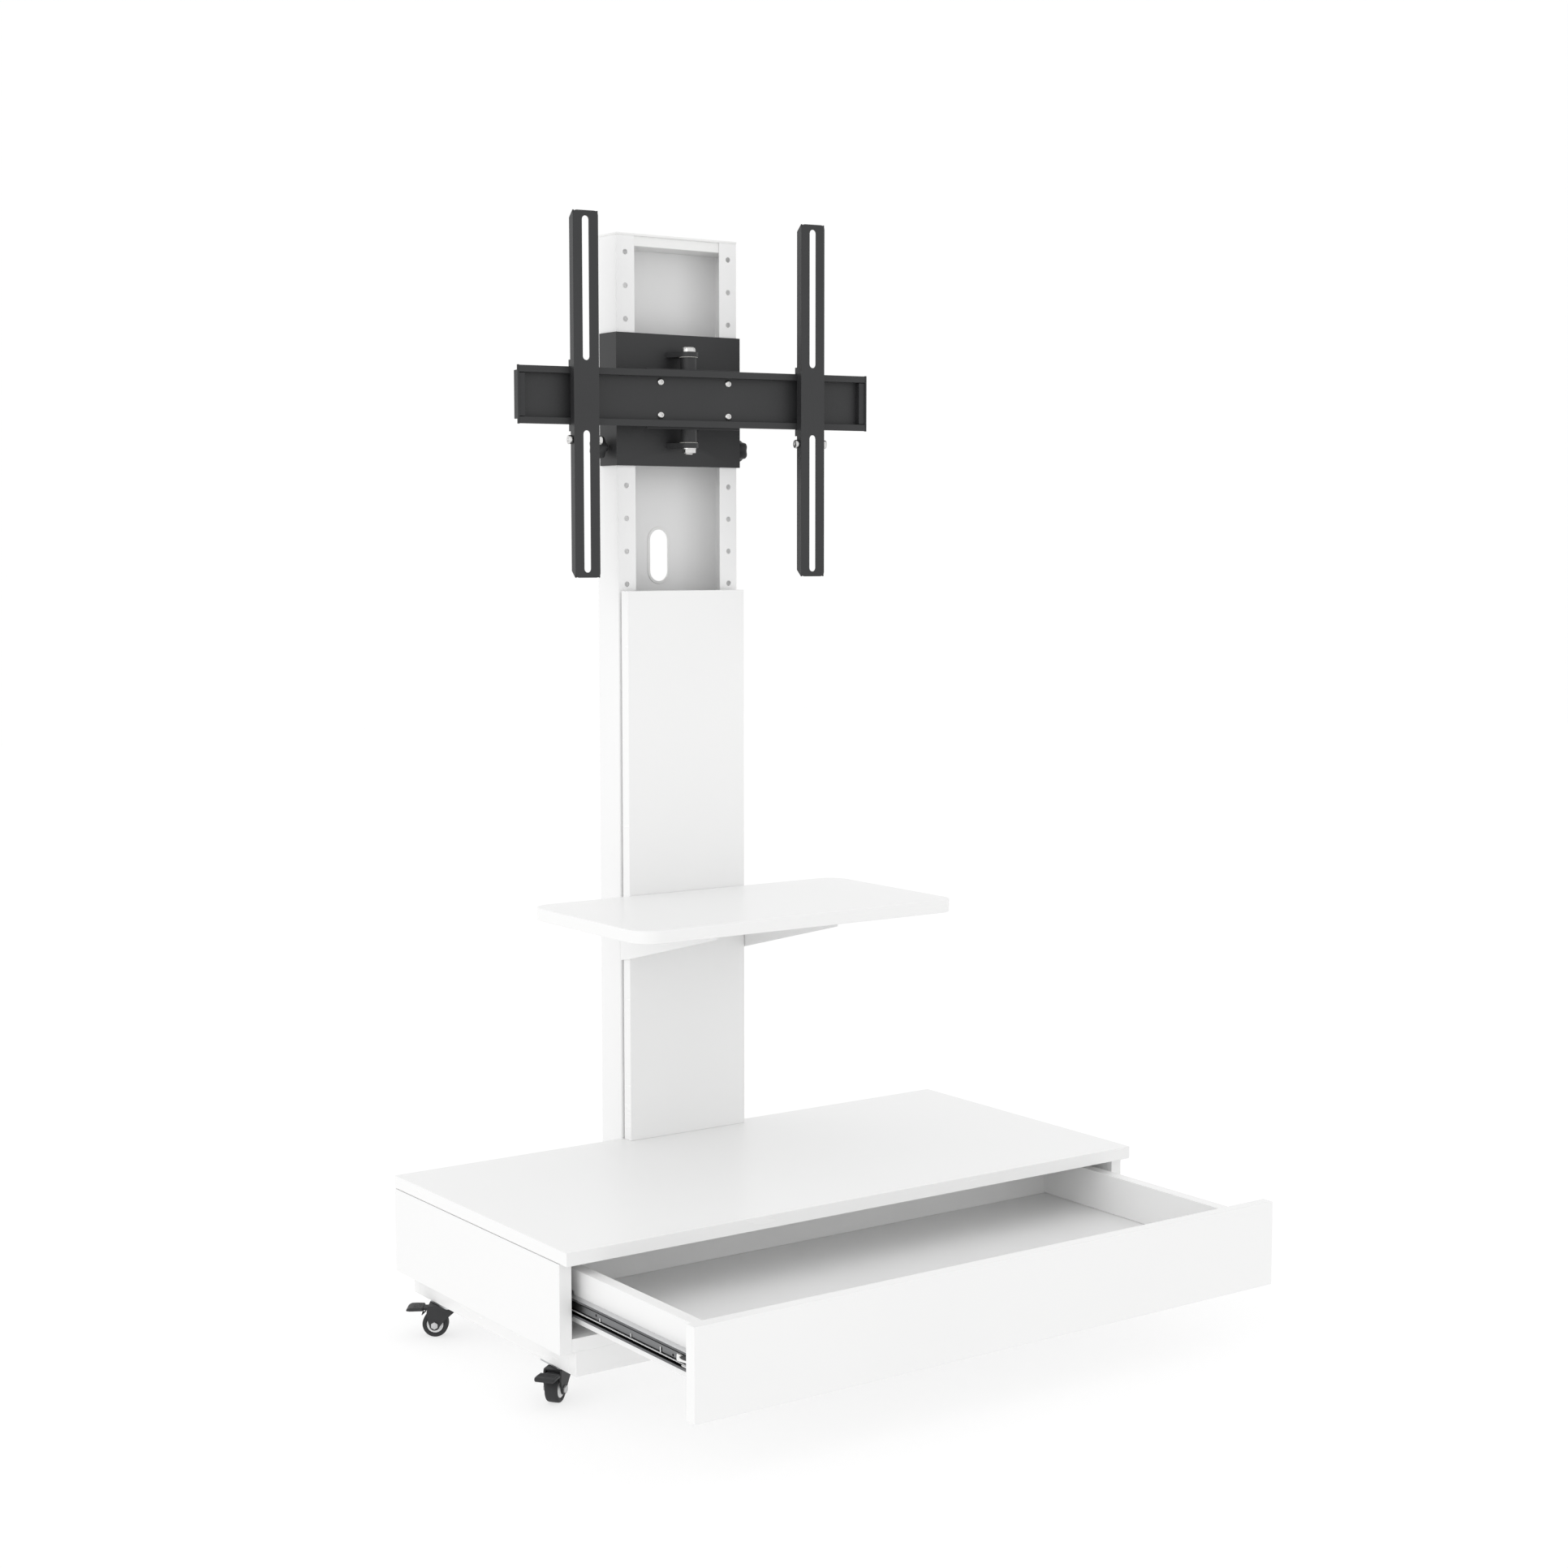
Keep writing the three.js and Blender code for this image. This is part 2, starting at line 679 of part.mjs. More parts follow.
// ---- casters
const forkLeg = [
  [-12, 38],
  [-5.7, 30.5],
  [3.7, 22.2],
  [11.2, 13.4],
  [13, 10.6],
  [17, 9],
  [21, 10.6],
  [23, 14],
  [24.6, 20],
  [26.4, 27],
  [24.5, 38],
];
for (const [name, sx, sy, dir] of [
  ["front_left", -1, 0, [-0.8, -0.6]],
  ["front_right", 1, 0, [0.8, -0.6]],
  ["rear_left", -1, 1, [-0.81, 0.586]],
  ["rear_right", 1, 1, [0.81, 0.586]],
]) {
  const seat = new THREE.Group();
  seat.position.set(sx * CASTER_X, CASTER_Y[sy], 0);
  frame.add(seat);
  piece(
    seat,
    "caster_plate_" + name,
    box(-15.5, 15.5, -21, 21, PLINTH_Z - 2, PLINTH_Z),
    zinc,
  );
  const swivel = new THREE.Group();
  swivel.rotation.z = Math.atan2(dir[1], dir[0]);
  seat.add(swivel);
  piece(
    swivel,
    "caster_fork_" + name,
    cutAll(
      joinAll(
        alongZ(circle(0, 0, 15, 24), 36, 38.1),
        alongZ(
          [
            [-12, -10.6],
            [24.5, -10.6],
            [24.5, 10.6],
            [-12, 10.6],
          ],
          36,
          38.1,
        ),
        alongY(forkLeg, 8.4, 10.6),
        alongY(forkLeg, -10.6, -8.4),
      ),
      alongY(circle(TRAIL, WHEEL_R, 2.7, 12), -12, 12),
    ),
    blackPlastic,
  );
  piece(
    swivel,
    "caster_axle_" + name,
    joinAll(
      alongY(circle(TRAIL, WHEEL_R, 2.3, 12), -12, 12),
      alongY(circle(TRAIL, WHEEL_R, 4.3, 6, Math.PI / 6), -13.2, -10.9),
      alongY(circle(TRAIL, WHEEL_R, 4.3, 6, Math.PI / 6), 10.9, 13.2),
    ),
    brightSteel,
  );
  const wheel = new THREE.Group();
  wheel.position.set(TRAIL, 0, WHEEL_R);
  swivel.add(wheel);
  const w = WHEEL_W / 2;
  piece(
    wheel,
    "caster_tyre_" + name,
    turned(
      [
        [9.7, -w + 0.6],
        [13, -w],
        [14.4, -w + 0.8],
        [15, -w + 2.4],
        [15, w - 2.4],
        [14.4, w - 0.8],
        [13, w],
        [9.7, w - 0.6],
        [9.7, -w + 0.6],
      ],
      32,
    ),
    tyreRubber,
  );
  piece(
    wheel,
    "caster_hub_" + name,
    turned(
      [
        [2.8, -7.4],
        [4.5, -7.4],
        [5, -5.8],
        [9.4, -5.8],
        [9.4, 5.8],
        [5, 5.8],
        [4.5, 7.4],
        [2.8, 7.4],
        [2.8, -7.4],
      ],
      24,
    ),
    greyPlastic,
  );
  piece(
    swivel,
    "caster_pedal_" + name,
    joinAll(
      alongY(
        [
          [9.5, 33],
          [9.5, 35.2],
          [28, 35.2],
          [28, 31.6],
          [20, 31.4],
          [12, 31.4],
        ],
        -7.6,
        7.6,
      ),
      alongY(
        [
          [28.6, 31.4],
          [44, 30],
          [50, 30.4],
          [50, 32.6],
          [44.5, 37.4],
          [38, 37.2],
          [28.6, 35.8],
        ],
        -12,
        12,
      ),
      box(27, 30, -7.6, 7.6, 31.8, 35.2),
    ),
    blackPlastic,
  );
}

export default stand;
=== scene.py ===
"""Wheeled media stand with a drawer, a shelf and a swivelling screen mount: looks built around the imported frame.
Metres, in the part's frame. mm() turns millimetres of the cabinet's own coordinates (y from the front edge of the
top panel) into that frame."""

import json
import math

import bmesh
import bpy
from mathutils import Matrix, Vector


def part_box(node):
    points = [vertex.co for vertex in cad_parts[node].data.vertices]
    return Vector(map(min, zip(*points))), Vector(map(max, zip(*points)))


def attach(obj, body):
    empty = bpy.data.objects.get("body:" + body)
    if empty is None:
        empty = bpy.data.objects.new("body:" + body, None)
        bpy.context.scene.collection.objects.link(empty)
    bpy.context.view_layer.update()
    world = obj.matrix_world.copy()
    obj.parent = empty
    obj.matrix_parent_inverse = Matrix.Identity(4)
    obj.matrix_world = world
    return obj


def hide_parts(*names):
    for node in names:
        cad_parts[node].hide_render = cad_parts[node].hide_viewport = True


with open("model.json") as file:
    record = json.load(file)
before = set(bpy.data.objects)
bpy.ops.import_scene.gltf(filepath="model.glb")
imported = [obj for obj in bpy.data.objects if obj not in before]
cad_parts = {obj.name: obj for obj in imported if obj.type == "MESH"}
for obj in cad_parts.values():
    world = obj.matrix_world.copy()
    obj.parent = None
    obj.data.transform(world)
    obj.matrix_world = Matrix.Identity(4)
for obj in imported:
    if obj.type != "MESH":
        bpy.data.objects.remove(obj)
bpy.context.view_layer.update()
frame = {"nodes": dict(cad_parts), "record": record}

SCENE = bpy.context.scene
NODES = frame["nodes"]
Y_SHIFT = -101.5  # part-frame y of the top panel's front edge, mm
PI = math.pi


def mm(x, y, z):
    return Vector((x / 1000.0, (y + Y_SHIFT) / 1000.0, z / 1000.0))


# ------------------------------------------------------------------ camera
def make_camera():
    cam = bpy.data.cameras.new("camera")
    ob = bpy.data.objects.new("camera", cam)
    SCENE.collection.objects.link(ob)
    cam.sensor_fit = "HORIZONTAL"
    cam.sensor_width = 36.0
    cam.lens = 56.87
    cam.clip_start, cam.clip_end = 0.05, 60.0
    fwd = Vector((0.57705, 0.81106, -0.09594)).normalized()
    right = fwd.cross(Vector((0, 0, 1))).normalized()
    up = right.cross(fwd)
    m = Matrix((right, up, -fwd)).transposed().to_4x4()
    m.translation = Vector((-1.6789, -2.2906, 0.9175))
    ob.matrix_world = m
    SCENE.camera = ob


make_camera()


# ------------------------------------------------------------------ materials
def node(nt, kind, **values):
    n = nt.nodes.new(kind)
    for k, v in values.items():
        setattr(n, k, v)
    return n


def surface(
    name,
    light,
    dark,
    rough=(0.35, 0.42),
    metallic=0.0,
    specular=0.5,
    blotch=6.0,
    stretch=(1, 1, 1),
    grain=900.0,
    grain_detail=2.0,
    bump=0.15,
    depth=0.00004,
    speck=None,
    pits=None,
    coat=0.0,
    coat_rough=0.2,
):
    """A surface whose colour drifts between two near tones, whose gloss drifts too, and which has a fine relief.
    speck adds sparse darker flecks, pits a cellular relief such as a powder coat's or a moulded texture's."""
    m = bpy.data.materials.new(name)
    m.use_nodes = True
    nt = m.node_tree
    b = next(n for n in nt.nodes if n.type == "BSDF_PRINCIPLED")
    link = nt.links.new
    coords = node(nt, "ShaderNodeTexCoord")
    mapping = node(nt, "ShaderNodeMapping")
    mapping.inputs["Scale"].default_value = stretch
    link(coords.outputs["Object"], mapping.inputs["Vector"])

    drift = node(nt, "ShaderNodeTexNoise")
    drift.inputs["Scale"].default_value = blotch
    drift.inputs["Detail"].default_value = 5.0
    drift.inputs["Roughness"].default_value = 0.55
    link(mapping.outputs["Vector"], drift.inputs["Vector"])
    ramp = node(nt, "ShaderNodeValToRGB")
    ramp.color_ramp.elements[0].position = 0.05
    ramp.color_ramp.elements[0].color = (*dark, 1)
    ramp.color_ramp.elements[1].position = 0.95
    ramp.color_ramp.elements[1].color = (*light, 1)
    link(drift.outputs["Fac"], ramp.inputs["Fac"])
    colour = ramp.outputs["Color"]
    if speck:
        size, share, tone = speck
        flecks = node(nt, "ShaderNodeTexVoronoi")
        flecks.inputs["Scale"].default_value = size
        link(coords.outputs["Object"], flecks.inputs["Vector"])
        cut = node(nt, "ShaderNodeMapRange")
        cut.inputs["From Min"].default_value = share * 0.6
        cut.inputs["From Max"].default_value = share
        cut.inputs["To Min"].default_value = 1.0
        cut.inputs["To Max"].default_value = 0.0
        link(flecks.outputs["Distance"], cut.inputs["Value"])
        mix = node(nt, "ShaderNodeMix", data_type="RGBA")
        link(cut.outputs["Result"], mix.inputs["Factor"])
        link(colour, mix.inputs["A"])
        mix.inputs["B"].default_value = (*tone, 1)
        colour = mix.outputs["Result"]
    link(colour, b.inputs["Base Color"])

    fine = node(nt, "ShaderNodeTexNoise")
    fine.inputs["Scale"].default_value = grain
    fine.inputs["Detail"].default_value = grain_detail
    link(mapping.outputs["Vector"], fine.inputs["Vector"])
    gloss = node(nt, "ShaderNodeMapRange")
    gloss.inputs["From Min"].default_value = 0.1
    gloss.inputs["From Max"].default_value = 0.9
    gloss.inputs["To Min"].default_value = rough[0]
    gloss.inputs["To Max"].default_value = rough[1]
    link(drift.outputs["Fac"], gloss.inputs["Value"])
    link(gloss.outputs["Result"], b.inputs["Roughness"])

    relief = node(nt, "ShaderNodeBump")
    relief.inputs["Strength"].default_value = bump
    relief.inputs["Distance"].default_value = depth
    height = fine.outputs["Fac"]
    if pits:
        cells = node(nt, "ShaderNodeTexVoronoi")
        cells.feature = "SMOOTH_F1"
        cells.inputs["Scale"].default_value = pits
        link(coords.outputs["Object"], cells.inputs["Vector"])
        add = node(nt, "ShaderNodeMath", operation="ADD")
        link(fine.outputs["Fac"], add.inputs[0])
        link(cells.outputs["Distance"], add.inputs[1])
        height = add.outputs["Value"]
    link(height, relief.inputs["Height"])
    link(relief.outputs["Normal"], b.inputs["Normal"])
    b.inputs["Metallic"].default_value = metallic
    b.inputs["Specular IOR Level"].default_value = specular
    if coat:
        b.inputs["Coat Weight"].default_value = coat
        b.inputs["Coat Roughness"].default_value = coat_rough
    return m


M = {}
# faces of the melamine boards: a very fine pearl relief, with a faint drift of tone
M["laminate"] = surface(
    "white_laminate", (0.872, 0.872, 0.868), (0.852, 0.853, 0.852), rough=(0.27, 0.35), specular=0.42,
    blotch=5.0, grain=420.0, grain_detail=3.0, bump=0.06, depth=0.00004,
)
# edge band: the same white, smoother, drawn lengthwise
M["edge"] = surface(
    "white_edge_band", (0.878, 0.878, 0.874), (0.862, 0.863, 0.861), rough=(0.22, 0.3), specular=0.45,
    blotch=9.0, stretch=(1, 1, 6), grain=300.0, bump=0.05, depth=0.00003,
)
M["foil"] = surface(
    "white_hardboard", (0.845, 0.845, 0.842), (0.822, 0.823, 0.822), rough=(0.42, 0.52), specular=0.35,
    blotch=12.0, grain=600.0, grain_detail=4.0, bump=0.25, depth=0.00006,
)
M["white_steel"] = surface(
    "white_powder_coat", (0.868, 0.868, 0.866), (0.848, 0.849, 0.848), rough=(0.3, 0.38), specular=0.5,
    blotch=7.0, grain=450.0, bump=0.1, depth=0.00005, pits=420.0,
)
M["black_steel"] = surface(
    "black_powder_coat", (0.027, 0.0275, 0.029), (0.017, 0.0175, 0.0185), rough=(0.42, 0.55), specular=0.5,
    blotch=14.0, grain=900.0, grain_detail=3.0, bump=0.5, depth=0.00012, pits=650.0,
)
M["zinc"] = surface(
    "grey_zinc_steel", (0.25, 0.253, 0.258), (0.19, 0.193, 0.198), rough=(0.3, 0.44), metallic=1.0,
    blotch=28.0, stretch=(1, 0.12, 1), grain=1500.0, bump=0.2, depth=0.00003,
)
# darker copy of the slide steel: painted shade for the recesses of the inner member's profile
M["raceway"] = surface(
    "greased_raceway_steel", (0.06, 0.061, 0.064), (0.035, 0.036, 0.039), rough=(0.3, 0.46), metallic=1.0,
    blotch=40.0, stretch=(1, 0.08, 1), grain=1500.0, bump=0.2, depth=0.00003,
)
# darker copy of the slide steel: painted shade on the lips of the inner member
M["rolled_lip"] = surface(
    "rolled_lip_steel", (0.17, 0.172, 0.177), (0.12, 0.122, 0.127), rough=(0.3, 0.42), metallic=1.0,
    blotch=34.0, stretch=(1, 0.08, 1), grain=1500.0, bump=0.2, depth=0.00003,
)
# much lighter copy of the slide steel: painted highlight on the flat faces of the inner member's flanges, where light
# from above falls
M["plated_flange"] = surface(
    "plated_flange_steel", (0.72, 0.723, 0.728), (0.64, 0.643, 0.65), rough=(0.3, 0.42), metallic=1.0,
    blotch=34.0, stretch=(1, 0.1, 1), grain=1500.0, bump=0.15, depth=0.00003,
)
# near-white copy of the slide steel: painted highlight along the bead of the inner member's profile and on its lanced
# tabs
M["burnished"] = surface(
    "burnished_steel", (0.93, 0.932, 0.935), (0.84, 0.843, 0.848), rough=(0.4, 0.5), metallic=0.1, specular=0.7,
    blotch=34.0, stretch=(1, 0.1, 1), grain=1500.0, bump=0.15, depth=0.00003,
)
M["galvanised"] = surface(
    "galvanised_steel", (0.6, 0.61, 0.625), (0.44, 0.45, 0.465), rough=(0.26, 0.46), metallic=1.0,
    blotch=60.0, grain=300.0, bump=0.12, depth=0.00004, speck=(160.0, 0.22, (0.66, 0.67, 0.69)),
)
M["bright_steel"] = surface(
    "nickel_plated_steel", (0.74, 0.735, 0.725), (0.62, 0.615, 0.61), rough=(0.16, 0.3), metallic=1.0,
    blotch=160.0, grain=2200.0, bump=0.1, depth=0.00002,
)
M["axle_zinc"] = surface(
    "dull_zinc_bolt", (0.6, 0.602, 0.606), (0.5, 0.502, 0.507), rough=(0.42, 0.56), metallic=0.55, specular=0.5,
    blotch=160.0, grain=2200.0, bump=0.15, depth=0.00002,
)
M["black_plastic"] = surface(
    "black_moulded_plastic", (0.031, 0.0315, 0.033), (0.023, 0.0235, 0.025), rough=(0.5, 0.62), specular=0.38,
    blotch=60.0, grain=1800.0, bump=0.35, depth=0.00005, pits=1500.0,
)
M["white_plastic"] = surface(
    "white_moulded_plastic", (0.86, 0.86, 0.85), (0.835, 0.836, 0.828), rough=(0.28, 0.38), specular=0.5,
    blotch=70.0, grain=1500.0, bump=0.12, depth=0.00003,
)
M["grey_plastic"] = surface(
    "pale_hub_plastic", (0.86, 0.862, 0.865), (0.82, 0.823, 0.828), rough=(0.26, 0.36), specular=0.5,
    blotch=90.0, grain=1500.0, bump=0.12, depth=0.00003,
)
M["tyre"] = surface(
    "black_tread_rubber", (0.038, 0.0385, 0.04), (0.027, 0.0275, 0.029), rough=(0.6, 0.8), specular=0.32,
    blotch=120.0, grain=1400.0, grain_detail=4.0, bump=0.45, depth=0.00008,
)
M["nylon"] = surface(
    "natural_nylon", (0.8, 0.79, 0.74), (0.74, 0.73, 0.68), rough=(0.35, 0.45), specular=0.45,
    blotch=120.0, grain=1500.0, bump=0.1, depth=0.00003,
)


# ------------------------------------------------------------------ mesh helpers
def link_object(ob):
    SCENE.collection.objects.link(ob)
    return ob


def to_mesh(name, bm, merge=True):
    if merge:
        bmesh.ops.remove_doubles(bm, verts=bm.verts, dist=1e-7)
    bmesh.ops.recalc_face_normals(bm, faces=bm.faces)
    me = bpy.data.meshes.new(name)
    bm.to_mesh(me)
    bm.free()
    return me


def piece(name, me, materials, body, bevel=None, sharp=34.0, replaces=(), segs=2, angle=34.0):
    """Puts a mesh into the scene as a piece of a body, with its edges rounded by bevel (metres)."""
    me.name = name
    if not isinstance(materials, (list, tuple)):
        materials = [materials]
    which = [0] * len(me.polygons)
    me.polygons.foreach_get("material_index", which)
    me.materials.clear()  # this sets every face to the first material, so the faces' choices are put back
    for m in materials:
        me.materials.append(m)
    me.polygons.foreach_set("material_index", [min(i, len(materials) - 1) for i in which])
    me.polygons.foreach_set("use_smooth", [True] * len(me.polygons))
    me.set_sharp_from_angle(angle=math.radians(sharp))
    ob = link_object(bpy.data.objects.new(name, me))
    if bevel:
        b = ob.modifiers.new("edges", "BEVEL")
        b.width = bevel
        b.segments = segs
        b.limit_method = "ANGLE"
        b.angle_limit = math.radians(angle)
        b.harden_normals = True
        b.miter_outer = "MITER_ARC"
    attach(ob, body)
    if replaces:
        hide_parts(*([replaces] if isinstance(replaces, str) else replaces))
    return ob


def node_bm(name):
    """The CAD node's own surface, with split vertices joined and flat areas merged."""
    bm = bmesh.new()
    bm.from_mesh(NODES[name].data)
    bmesh.ops.remove_doubles(bm, verts=bm.verts, dist=2e-6)
    bmesh.ops.dissolve_limit(bm, angle_limit=math.radians(0.4), verts=bm.verts, edges=bm.edges)
    return bm


def body_of(name):
    return next(b for b, ns in frame["record"]["behaviour"]["bodies"].items() if name in ns)


def refine(name, material, suffix, bevel=0.0005, segs=2, angle=34.0, edge=None, sharp=34.0):
    """A node's shape with rounded edges and, for a board, its edge band in a second material."""
    bm = node_bm(name)
    mats = [material]
    if edge:
        lo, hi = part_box(name)
        size = hi - lo
        thin = min(range(3), key=lambda i: size[i])
        for f in bm.faces:
            f.normal_update()
            f.material_index = 0 if abs(f.normal[thin]) > 0.5 else 1
        mats = [material, edge]
    me = to_mesh(name + suffix, bm, merge=False)
    return piece(name + suffix, me, mats, body_of(name), bevel, sharp, name, segs, angle)


def add_box(bm, x0, x1, y0, y1, z0, z1, mat=None, index=0):
    """Box with corners in millimetres of the matrix's frame (the cabinet's when none is given)."""
    vs = []
    for x, y, z in (
        (x0, y0, z0), (x1, y0, z0), (x1, y1, z0), (x0, y1, z0),
        (x0, y0, z1), (x1, y0, z1), (x1, y1, z1), (x0, y1, z1),
    ):
        vs.append(bm.verts.new(mat @ (Vector((x, y, z)) / 1000.0) if mat else mm(x, y, z)))
    for f in ((3, 2, 1, 0), (4, 5, 6, 7), (0, 1, 5, 4), (1, 2, 6, 5), (2, 3, 7, 6), (3, 0, 4, 7)):
        bm.faces.new([vs[i] for i in f]).material_index = index
    return vs


def prism(bm, outline, h0, h1, place, index=0):
    """Outline [(a, b)] in millimetres swept from h0 to h1; place maps (a, b, h) to metres."""
    low = [bm.verts.new(place(a, b, h0)) for a, b in outline]
    high = [bm.verts.new(place(a, b, h1)) for a, b in outline]
    n = len(outline)
    bm.faces.new(list(reversed(low))).material_index = index
    bm.faces.new(high).material_index = index
    for i in range(n):
        j = (i + 1) % n
        bm.faces.new((low[i], low[j], high[j], high[i])).material_index = index


def lathe(bm, profile, place, steps=48, index=0, a0=0.0, wobble=None):
    """Profile [(radius, height)] turned about the local axis; place maps (x, y, h) to metres. Closed if it ends where it starts."""
    closed = profile[0] == profile[-1]
    pts = profile[:-1] if closed else profile
    rings = []
    for r, h in pts:
        if r < 1e-6:
            rings.append([bm.verts.new(place(0, 0, h))])
            continue
        ring = []
        for k in range(steps):
            a = a0 + 2 * PI * k / steps
            q = r * (wobble(a, h) if wobble else 1.0)
            ring.append(bm.verts.new(place(q * math.cos(a), q * math.sin(a), h)))
        rings.append(ring)
    pairs = list(zip(rings, rings[1:])) + ([(rings[-1], rings[0])] if closed else [])
    for a, b in pairs:
        for k in range(steps):
            j = (k + 1) % steps
            if len(a) == 1 and len(b) == 1:
                continue
            if len(a) == 1:
                bm.faces.new((a[0], b[j], b[k])).material_index = index
            elif len(b) == 1:
                bm.faces.new((a[k], a[j], b[0])).material_index = index
            else:
                bm.faces.new((a[k], a[j], b[j], b[k])).material_index = index


def loft(bm, stations, place, index=0):
    """Closed rings of equal length, joined in order and capped."""
    rings = [[bm.verts.new(place(*p)) for p in ring] for ring in stations]
    n = len(rings[0])
    for a, b in zip(rings, rings[1:]):
        for k in range(n):
            j = (k + 1) % n
            bm.faces.new((a[k], a[j], b[j], b[k])).material_index = index
    bm.faces.new(list(reversed(rings[0]))).material_index = index
    bm.faces.new(rings[-1]).material_index = index


def stamp(bm, template, matrix, index=None):
    """Adds a copy of a mesh at a place."""
    me = template.copy()
    me.transform(matrix)
    if matrix.determinant() < 0:
        me.flip_normals()
    if index is not None:
        me.polygons.foreach_set("material_index", [index] * len(me.polygons))
    bm.from_mesh(me)
    bpy.data.meshes.remove(me)


def boolean(base, tool, operation="DIFFERENCE"):
    """base and tool are meshes in the same frame; returns the result as a new mesh."""
    a = link_object(bpy.data.objects.new("tmp_a", base))
    b = link_object(bpy.data.objects.new("tmp_b", tool))
    md = a.modifiers.new("cut", "BOOLEAN")
    md.object = b
    md.operation = operation
    md.solver = "EXACT"
    dg = bpy.context.evaluated_depsgraph_get()
    out = bpy.data.meshes.new_from_object(a.evaluated_get(dg))
    bpy.data.objects.remove(a)
    bpy.data.objects.remove(b)
    return out


def circle(cx, cy, r, n, a0=0.0):
    return [(cx + r * math.cos(a0 + 2 * PI * i / n), cy + r * math.sin(a0 + 2 * PI * i / n)) for i in range(n)]


def obround(cx, cy, hw, hl, n=10):
    """Slot outline, long in the second coordinate."""
    p = []
    for i in range(n + 1):
        a = PI * i / n
        p.append((cx + hw * math.cos(a), cy + hl - hw + hw * math.sin(a)))
    for i in range(n + 1):
        a = PI + PI * i / n
        p.append((cx + hw * math.cos(a), cy - hl + hw + hw * math.sin(a)))
    return p


def sheet_outline(line, t, radius=0.0, steps=6):
    """Outline of a folded sheet of thickness t along a centreline, its folds rounded to the given radius."""
    pts = [Vector(p) for p in line]
    if radius:
        out = [pts[0]]
        for a, b, c in zip(pts, pts[1:], pts[2:]):
            u, w = (a - b).normalized(), (c - b).normalized()
            turn = math.acos(max(-1, min(1, u.dot(w))))
            if abs(PI - turn) < 0.02:
                out.append(b)
                continue
            cut = radius / math.tan(turn / 2)
            cut = min(cut, (a - b).length * 0.48, (c - b).length * 0.48)
            r = cut * math.tan(turn / 2)
            centre = b + (u + w).normalized() * (r / math.sin(turn / 2))
            p, q = b + u * cut, b + w * cut
            ap, aq = math.atan2(*(p - centre).yx), math.atan2(*(q - centre).yx)
            d = (aq - ap + PI) % (2 * PI) - PI
            for k in range(steps + 1):
                a_ = ap + d * k / steps
                out.append(centre + Vector((math.cos(a_), math.sin(a_))) * r)
        out.append(pts[-1])
        pts = out
    left, right = [], []
    for i, p in enumerate(pts):
        if i == 0:
            d = (pts[1] - p).normalized()
            n, k = Vector((-d.y, d.x)), 1.0
        elif i == len(pts) - 1:
            d = (p - pts[-2]).normalized()
            n, k = Vector((-d.y, d.x)), 1.0
        else:
            d0, d1 = (p - pts[i - 1]).normalized(), (pts[i + 1] - p).normalized()
            n0, n1 = Vector((-d0.y, d0.x)), Vector((-d1.y, d1.x))
            n = (n0 + n1).normalized()
            k = 1.0 / max(0.3, n.dot(n0))
        left.append(tuple(p + n * (t / 2 * k)))
        right.append(tuple(p - n * (t / 2 * k)))
    return left + right[::-1]


def axis_place(origin, axis, up=(0, 0, 1)):
    """Matrix whose local z runs along axis, at origin (metres)."""
    z = Vector(axis).normalized()
    u = Vector(up)
    if abs(z.dot(u)) > 0.95:
        u = Vector((0, 1, 0))
    x = u.cross(z).normalized()
    y = z.cross(x)
    m = Matrix((x, y, z)).transposed().to_4x4()
    m.translation = Vector(origin)
    return m


def local_mm(matrix):
    return lambda x, y, h: matrix @ (Vector((x, y, h)) / 1000.0)


IDENT = local_mm(Matrix.Identity(4))


# ------------------------------------------------------------------ fastener templates, along +z, seated at z = 0
def cross(a, w):
    """Outline of a screw's cross recess, a from its middle to its ends and 2 w broad."""
    return [(a, -w), (a, w), (w, w), (w, a), (-w, a), (-w, w), (-a, w), (-a, -w), (-w, -w), (-w, -a), (w, -a), (w, -w)]


def t_pan_screw(r=3.4, h=1.9, name="t_pan"):
    bm = bmesh.new()
    lathe(bm, [(r, 0), (r, 0.35), (r * 0.93, h * 0.55), (r * 0.72, h * 0.86), (r * 0.4, h * 0.98), (0, h)], IDENT, 28)
    bmesh.ops.holes_fill(bm, edges=bm.edges)
    head = to_mesh(name, bm)
    bm = bmesh.new()
    prism(bm, cross(r * 0.55, r * 0.15), h * 0.42, h + 1, IDENT)
    return boolean(head, to_mesh("t_cross", bm, merge=False))


def t_csk_screw(r=4.0, name="t_csk"):
    """Flat head seated flush: only a shallow rim and its cross show."""
    bm = bmesh.new()
    lathe(bm, [(r, -0.6), (r, 0.02), (r * 0.96, 0.16), (r * 0.5, 0.22), (0, 0.22)], IDENT, 28)
    bmesh.ops.holes_fill(bm, edges=bm.edges)
    head = to_mesh(name, bm)
    bm = bmesh.new()
    prism(bm, cross(r * 0.55, r * 0.14), -0.45, 1, IDENT)
    return boolean(head, to_mesh("t_cross2", bm, merge=False))


def t_hex(af_r, h, washer=None, name="t_hex", socket=False):
    """Hexagon head: corner radius af_r, chamfered top, with a washer under it if asked."""
    bm = bmesh.new()
    base = 0.0
    if washer:
        lathe(bm, [(0, 0), (washer - 0.15, 0), (washer, 0.15), (washer, washer * 0.16 - 0.1), (washer - 0.15, washer * 0.16), (0, washer * 0.16)], IDENT, 32)
        base = washer * 0.16
    hexa = circle(0, 0, af_r, 6, PI / 6)
    low = [bm.verts.new(IDENT(a, b, base)) for a, b in hexa]
    mid = [bm.verts.new(IDENT(a, b, base + h * 0.86)) for a, b in hexa]
    top = [bm.verts.new(IDENT(a, b, base + h)) for a, b in circle(0, 0, af_r * 0.84, 6, PI / 6)]
    bm.faces.new(low[::-1])
    bm.faces.new(top)
    for a, b in ((low, mid), (mid, top)):
        for i in range(6):
            j = (i + 1) % 6
            bm.faces.new((a[i], a[j], b[j], b[i]))
    return to_mesh(name, bm)


